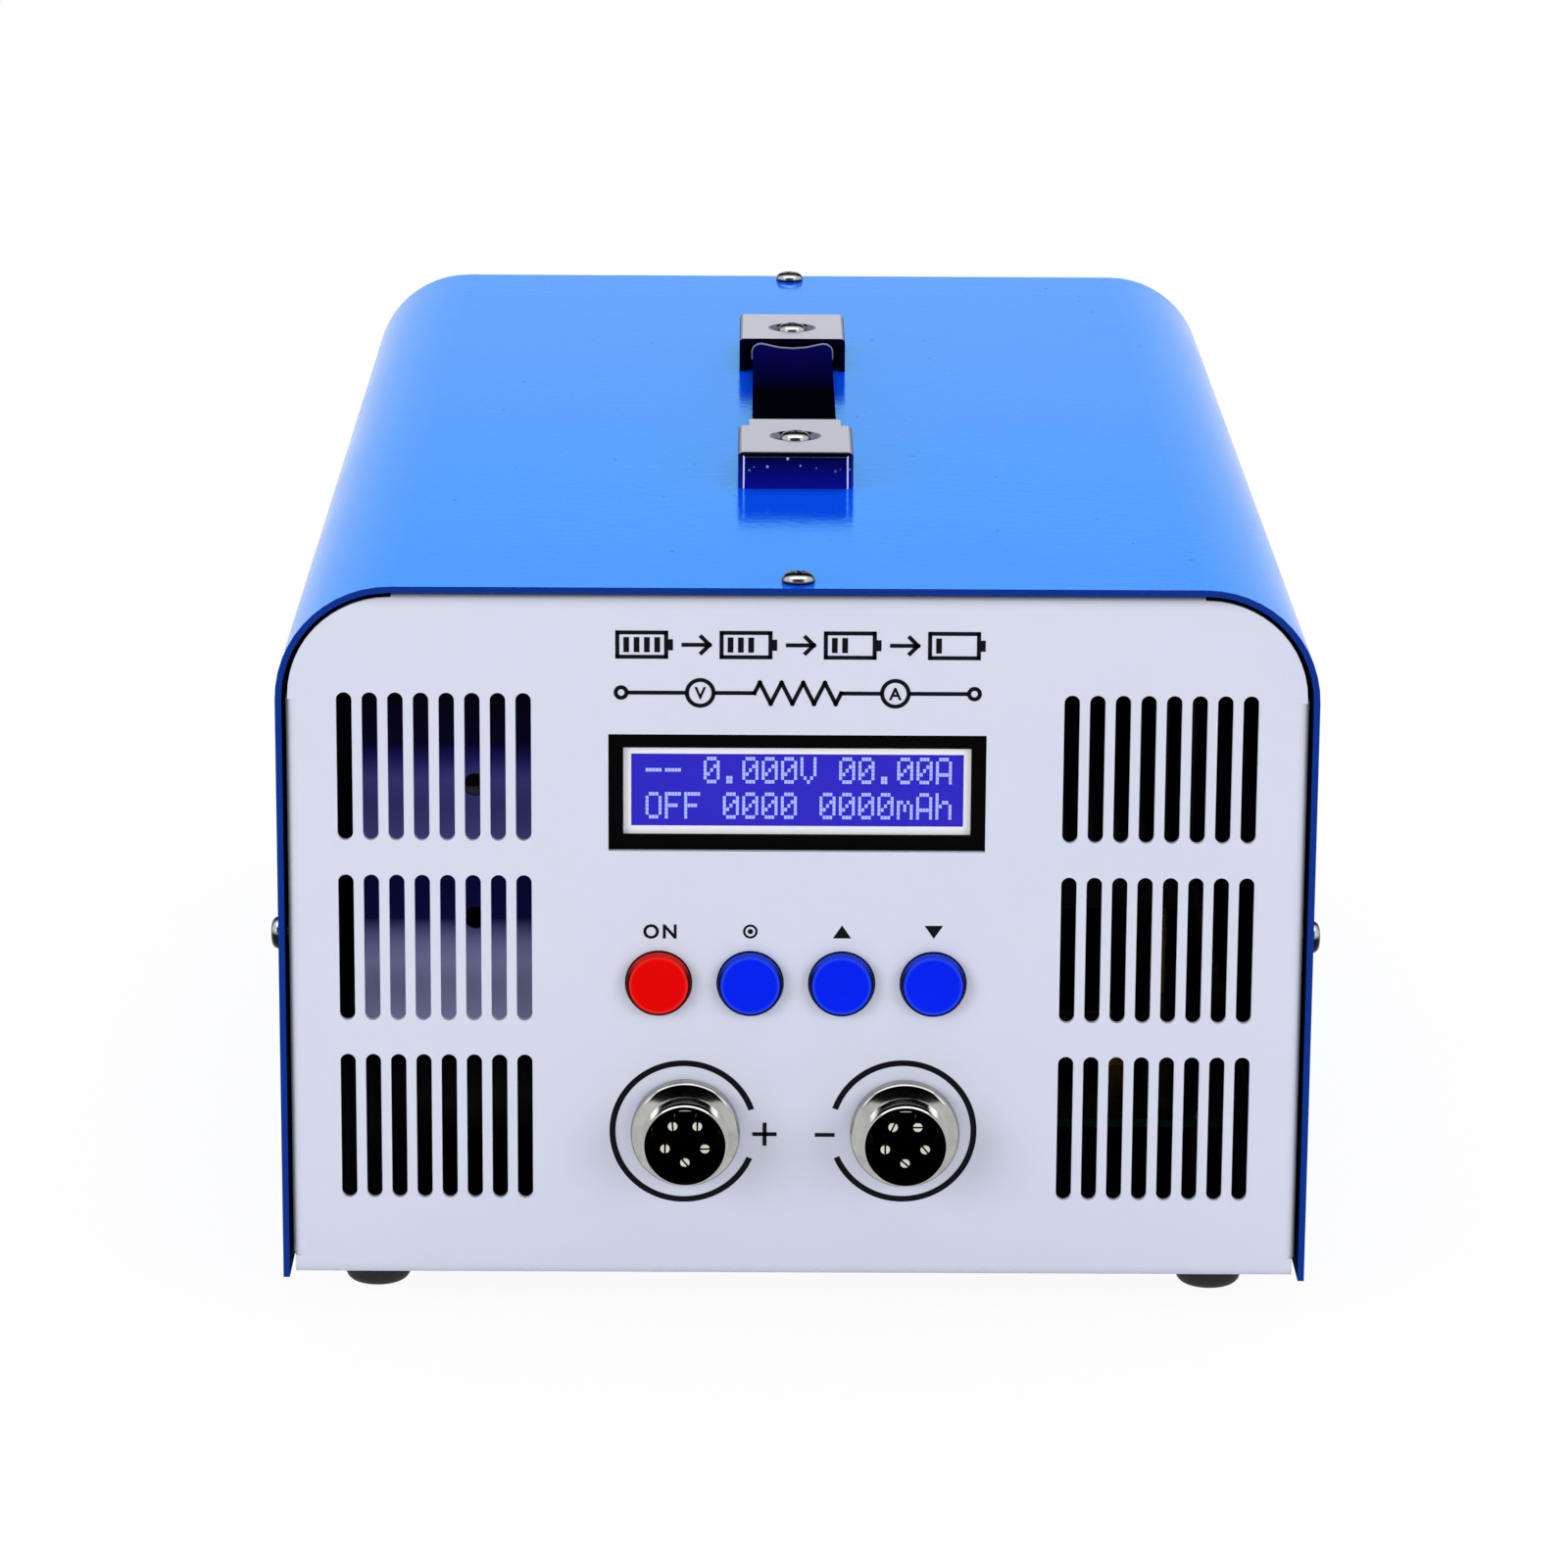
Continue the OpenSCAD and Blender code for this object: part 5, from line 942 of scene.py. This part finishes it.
# %% Button signs
BUTTON_XS = [(i - 1.5) * BUTTON_PITCH for i in range(4)]
SIGN_Z, ON_H, ARROW_W, ARROW_H = 66.4, 2.7, 1.7, 1.25
sign_middle = SIGN_Z + ON_H / 2
signs = [words("ON", BUTTON_XS[0] + 0.3, SIGN_Z, ON_H, spacing=1.25),
         arc(BUTTON_XS[1], sign_middle, 1.15, 0.42, steps=32),
         arc(BUTTON_XS[1], sign_middle, 0.25, 0.5, steps=16)]
for x, flip in ((BUTTON_XS[2], 1), (BUTTON_XS[3], -1)):
    foot, tip = sign_middle - ARROW_H * flip, sign_middle + ARROW_H * flip
    signs.append(solid_polygon([(x - ARROW_W, foot), (x + ARROW_W, foot), (x, tip)][::flip]))
printed("button_signs", signs)

# %% [markdown]
# Two rows of plain signs stand over the display, in one bold line. The upper row is a battery
# that runs down in four steps. The lower row is the circuit of the test: terminals, a voltmeter,
# the load resistor and an ammeter. All are built of strokes and rings, which stay crisp.

# %% A battery that runs down
UPPER, LOWER = 122.65, 113.55
ICON_W, ICON_H, ICON_PITCH, FIRST_ICON = 9.0, 4.6, 19.2, -33.3
FIRST_BAR, BAR_PITCH, BAR_LINE, NIB_LINE = 1.65, 1.9, 1.05, 0.9
ARROW_TAIL, ARROW_TIP, BARB = 12.2, 17.0, 1.5


def outline(x0, z0, x1, z1):
    corners = [(x0, z0), (x1, z0), (x1, z1), (x0, z1)]
    return [stroke(*one, *two, LINE) for one, two in zip(corners, corners[1:] + corners[:1])]


def upright_bar(x, half, width):
    return stroke(x, UPPER - half, x, UPPER + half, width)


ladder = []
for k in range(4):
    x = FIRST_ICON + k * ICON_PITCH
    ladder += outline(x, UPPER - ICON_H / 2, x + ICON_W, UPPER + ICON_H / 2)
    ladder.append(upright_bar(x + ICON_W + 0.8, 0.6, NIB_LINE))
    ladder += [upright_bar(x + FIRST_BAR + BAR_PITCH * bar, 0.9, BAR_LINE) for bar in range(4 - k)]
    if k < 3:
        tip = x + ARROW_TIP
        ladder += [stroke(x + ARROW_TAIL, UPPER, tip, UPPER, LINE),
                   stroke(tip, UPPER, tip - BARB, UPPER + BARB, LINE),
                   stroke(tip, UPPER, tip - BARB, UPPER - BARB, LINE)]
printed("battery_signs", ladder)

# %% The circuit of the test
METER_X, METER_R, TERMINAL_X, TERMINAL_R, LETTER_H = 18, 2.45, 32.6, 1.0, 2.3
circuit = [arc(side * x, LOWER, radius, LINE, steps=steps)
           for x, radius, steps in ((TERMINAL_X, TERMINAL_R, 32), (METER_X, METER_R, 48))
           for side in (-1, 1)]
circuit += [stroke(a, LOWER, b, LOWER, LINE)
            for a, b in ((-31.2, -20.9), (-15.1, -8), (8, 15.1), (20.9, 31.2))]
zigzag = [(-8, 0)] + [(-7 + 2 * k, 2.0 * (-1) ** k) for k in range(8)] + [(8, 0)]
circuit += [stroke(xa, LOWER + za, xb, LOWER + zb, LINE)
            for (xa, za), (xb, zb) in zip(zigzag, zigzag[1:])]
circuit += [words(letter, x, LOWER - LETTER_H / 2, LETTER_H)
            for letter, x in (("V", -METER_X), ("A", METER_X))]
printed("circuit_signs", circuit)

# %% [markdown]
# ## Characters of the display
# Each character is a field of 5 by 8 dots. The dots that are lit are small flat pads, a hair in
# front of the blue glass. Their patterns are the common ones for digits and unit letters.

# %% Characters of the display
PATTERNS = {
    "0": ("01110", "10001", "10011", "10101", "11001", "10001", "01110"),
    "V": ("10001", "10001", "10001", "10001", "10001", "01010", "00100"),
    "A": ("01110", "10001", "10001", "10001", "11111", "10001", "10001"),
    "O": ("01110", "10001", "10001", "10001", "10001", "10001", "01110"),
    "F": ("11111", "10000", "10000", "11110", "10000", "10000", "10000"),
    "m": ("00000", "00000", "11010", "10101", "10101", "10001", "10001"),
    "h": ("10000", "10000", "10110", "11001", "10001", "10001", "10001"),
    ".": ("00000", "00000", "00000", "00000", "00000", "01100", "01100"),
    "-": ("00000", "00000", "00000", "11111", "00000", "00000", "00000"),
}
ROWS = ["-- 0.000V 00.00A", "OFF 0000 0000mAh"]
CHAR_PITCH, ROW_PITCH = 3.59, 6.8
DOT_PITCH, DOT_ROW_PITCH = 0.605, 0.735
DOT_W, DOT_T, DOT_H, DOT_GAP = 0.53, 0.04, 0.66, 0.03
FIRST_X, FIRST_Z = -27.85, 100.5
glass_front = (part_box("display_glass")[0].y - front_edge) / MM
dots = bmesh.new()
for r, text in enumerate(ROWS):
    for c, letter in enumerate(text):
        for i, line in enumerate(PATTERNS.get(letter, ())):
            for j, lit in enumerate(line):
                if lit == "1":
                    x = FIRST_X + c * CHAR_PITCH + j * DOT_PITCH
                    z = FIRST_Z - r * ROW_PITCH - i * DOT_ROW_PITCH
                    pad = place(x, glass_front - DOT_GAP, z,
                                Matrix.Diagonal((DOT_W, DOT_T, DOT_H, 1)))
                    bmesh.ops.create_cube(dots, size=1, matrix=pad)
piece("display_dots", dots, lit_dots, "case")

# %% [markdown]
# ## Rocker marks
# A power rocker carries the two common signs, a bar for on and a ring for off, in white pad ink
# on its two sloping halves.

# %% Rocker marks
ROCKER_Z, ROCKER_PIVOT_Y, ROCKER_DIP, ROCKER_HALF, SLOPE = 66.7, 324.1, 3.2, 6.6, 10
rocker_low, rocker_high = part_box("power_rocker")
rocker = place((rocker_low.x + rocker_high.x) / 2 / MM, ROCKER_PIVOT_Y, ROCKER_Z, tilt(SLOPE, "X"))
for name, mark, side in (("rocker_mark_on", stroke(0, -1.4, 0, 1.4, 0.8), 1),
                         ("rocker_mark_off", arc(0, 0, 1.7, 0.7, steps=40), -1)):
    half = (Matrix.Translation((0, ROCKER_DIP, 0)) @ tilt(-side * SLOPE, "X")
            @ Matrix.Translation((0, 0, side * ROCKER_HALF / 2)) @ tilt(180, "Z"))
    piece(name, moved(mark, rocker @ half), white_ink, "power_rocker")

# %% [markdown]
# ## Floor, backdrop and light
# The photograph has a plain white ground. The floor and the world show white to the camera and to
# whatever mirrors them, while the light on the object stays at a plain level. Under the case the
# floor is coloured nearly black and matt, as painted shade, so that its shade isn't washed out.

# %% Floor and world
FLOOR_HALF = 6
CASE_SIDE, CASE_FRONT, CASE_REAR = (0.0968, 0.099), (-0.072, -0.132), (0.158, 0.168)
OVAL, NEAR, FAR, NEAR_WHITE = (1, 0.62, 0), 0.1, 0.27, 0.93


def seen_in(tree):
    """1 for a ray from the camera or a mirror, and 0 for light on its way to the object."""
    rays = add(tree, "LightPath").outputs
    return add(tree, "Math", [rays["Is Camera Ray"], rays["Is Glossy Ray"]], operation="MAXIMUM")


floor_draft = bmesh.new()
bmesh.ops.create_grid(floor_draft, x_segments=1, y_segments=1, size=FLOOR_HALF)
floor = object_from("floor", floor_draft)
ground = bpy.data.materials.new("white ground")
ground.use_nodes = True
tree = ground.node_tree
tree.nodes.remove(tree.nodes["Principled BSDF"])
where = add(tree, "TexCoord").outputs["Object"]
# The paper turns from nearly white round the case to full white in an oval.
spread = add(tree, "VectorMath", [where, OVAL], operation="MULTIPLY")
away = add(tree, "VectorMath", [spread], operation="LENGTH")
paper = add(tree, "MapRange", [away, NEAR, FAR, NEAR_WHITE, 1])
spot = add(tree, "SeparateXYZ", [where]).outputs
sideways = add(tree, "Math", [spot["X"]], operation="ABSOLUTE")
open_floor = add(tree, "MapRange", [sideways, *CASE_SIDE])
for end in (CASE_FRONT, CASE_REAR):
    past_end = add(tree, "MapRange", [spot["Y"], *end])
    open_floor = add(tree, "Math", [open_floor, past_end], operation="MAXIMUM")
share = add(tree, "Math", [seen_in(tree), paper], operation="MULTIPLY")
share = add(tree, "Math", [share, open_floor], operation="MULTIPLY")
# Painted shade: the floor under the case is nearly black.
tone = add(tree, "Mix", [open_floor, tint("#08080a"), tint("#f4f4f6")], data_type="RGBA")
matt = add(tree, "BsdfDiffuse", [tone])
clear = add(tree, "Emission", {"Color": WHITE, "Strength": 1})
feed(tree.nodes["Material Output"], {"Surface": add(tree, "MixShader", [share, matt, clear])})
floor.data.materials.append(ground)

scene.world = bpy.data.worlds.new("studio")
scene.world.use_nodes = True
tree = scene.world.node_tree
feed(tree.nodes["Background"], {
    "Color": WHITE, "Strength": add(tree, "MapRange", [seen_in(tree), 0, 1, 0.38, 1])})
print("floor", 2 * FLOOR_HALF, "m across")

# %% [markdown]
# Three soft boxes light the object. Mirrors don't see them, because the tinted skin of the paint
# would show them as pale patches. What chrome and paint do mirror is the white room and a few
# cards: black ones give chrome its dark bands, and bright ones give it its glints. The camera
# sees none of them, and they throw no shade.

# %% Lamps and cards


def lamp(name, place_m, aim, width, height, watts):
    data = bpy.data.lights.new(name, "AREA")
    data.shape, data.size, data.size_y, data.energy = "RECTANGLE", width, height, watts
    made = bpy.data.objects.new(name, data)
    made.location = place_m
    made.rotation_mode = "QUATERNION"
    made.rotation_quaternion = (Vector(aim) - Vector(place_m)).to_track_quat("-Z", "Y")
    made.visible_glossy = False
    scene.collection.objects.link(made)


lamp("top_softbox", (0.1, 0.3, 1.5), (0, 0, 0.1), 1.6, 1.4, 15)
lamp("front_left_softbox", (-1.4, -1.2, 0.6), (0, -0.1, 0.07), 0.8, 1.0, 12.4)
lamp("front_right_softbox", (1.4, -1.2, 0.55), (0, -0.1, 0.07), 0.8, 1.0, 9.7)


def card(name, corners, coat):
    draft = bmesh.new()
    draft.faces.new([draft.verts.new(corner) for corner in corners])
    made = object_from(name, draft)
    made.data.materials.append(coat)
    made.visible_camera = made.visible_diffuse = False
    made.visible_shadow = made.visible_transmission = False


card_black = bpy.data.materials.new("black card")
card_black.use_nodes = True
feed(card_black.node_tree.nodes["Principled BSDF"],
     {"Base Color": tint("#050507"), "Specular IOR Level": 0})
card_white = card_black.copy()
card_white.name = "bright card"
feed(card_white.node_tree.nodes["Principled BSDF"],
     {"Emission Color": WHITE, "Emission Strength": 2.6})
for name, (x0, y0, z0), (x1, y1, z1), coat in (
        ("front_card", (0.95, -1.45, 0.36), (1.1, -0.85, 1.25), card_black),
        ("back_card", (1.2, 1.5, 0.7), (1.2, 0.75, 1.45), card_black),
        ("glint_card", (1.3, -0.8, 1.3), (1.3, 0.0, 1.5), card_white)):
    card(name, [(-x0, y0, z0), (x0, y0, z0), (x1, y1, z1), (-x1, y1, z1)], coat)
for side, name in ((-1, "left_glint_card"), (1, "right_glint_card")):
    card(name, [(side * 1.5, -1.05, 0.6), (side * 1.25, -1.3, 0.6), (side * 1.25, -1.3, 1.3),
                (side * 1.5, -1.05, 1.3)], card_white)
scene.view_settings.view_transform = "Standard"
print("lamps", len(bpy.data.lights))
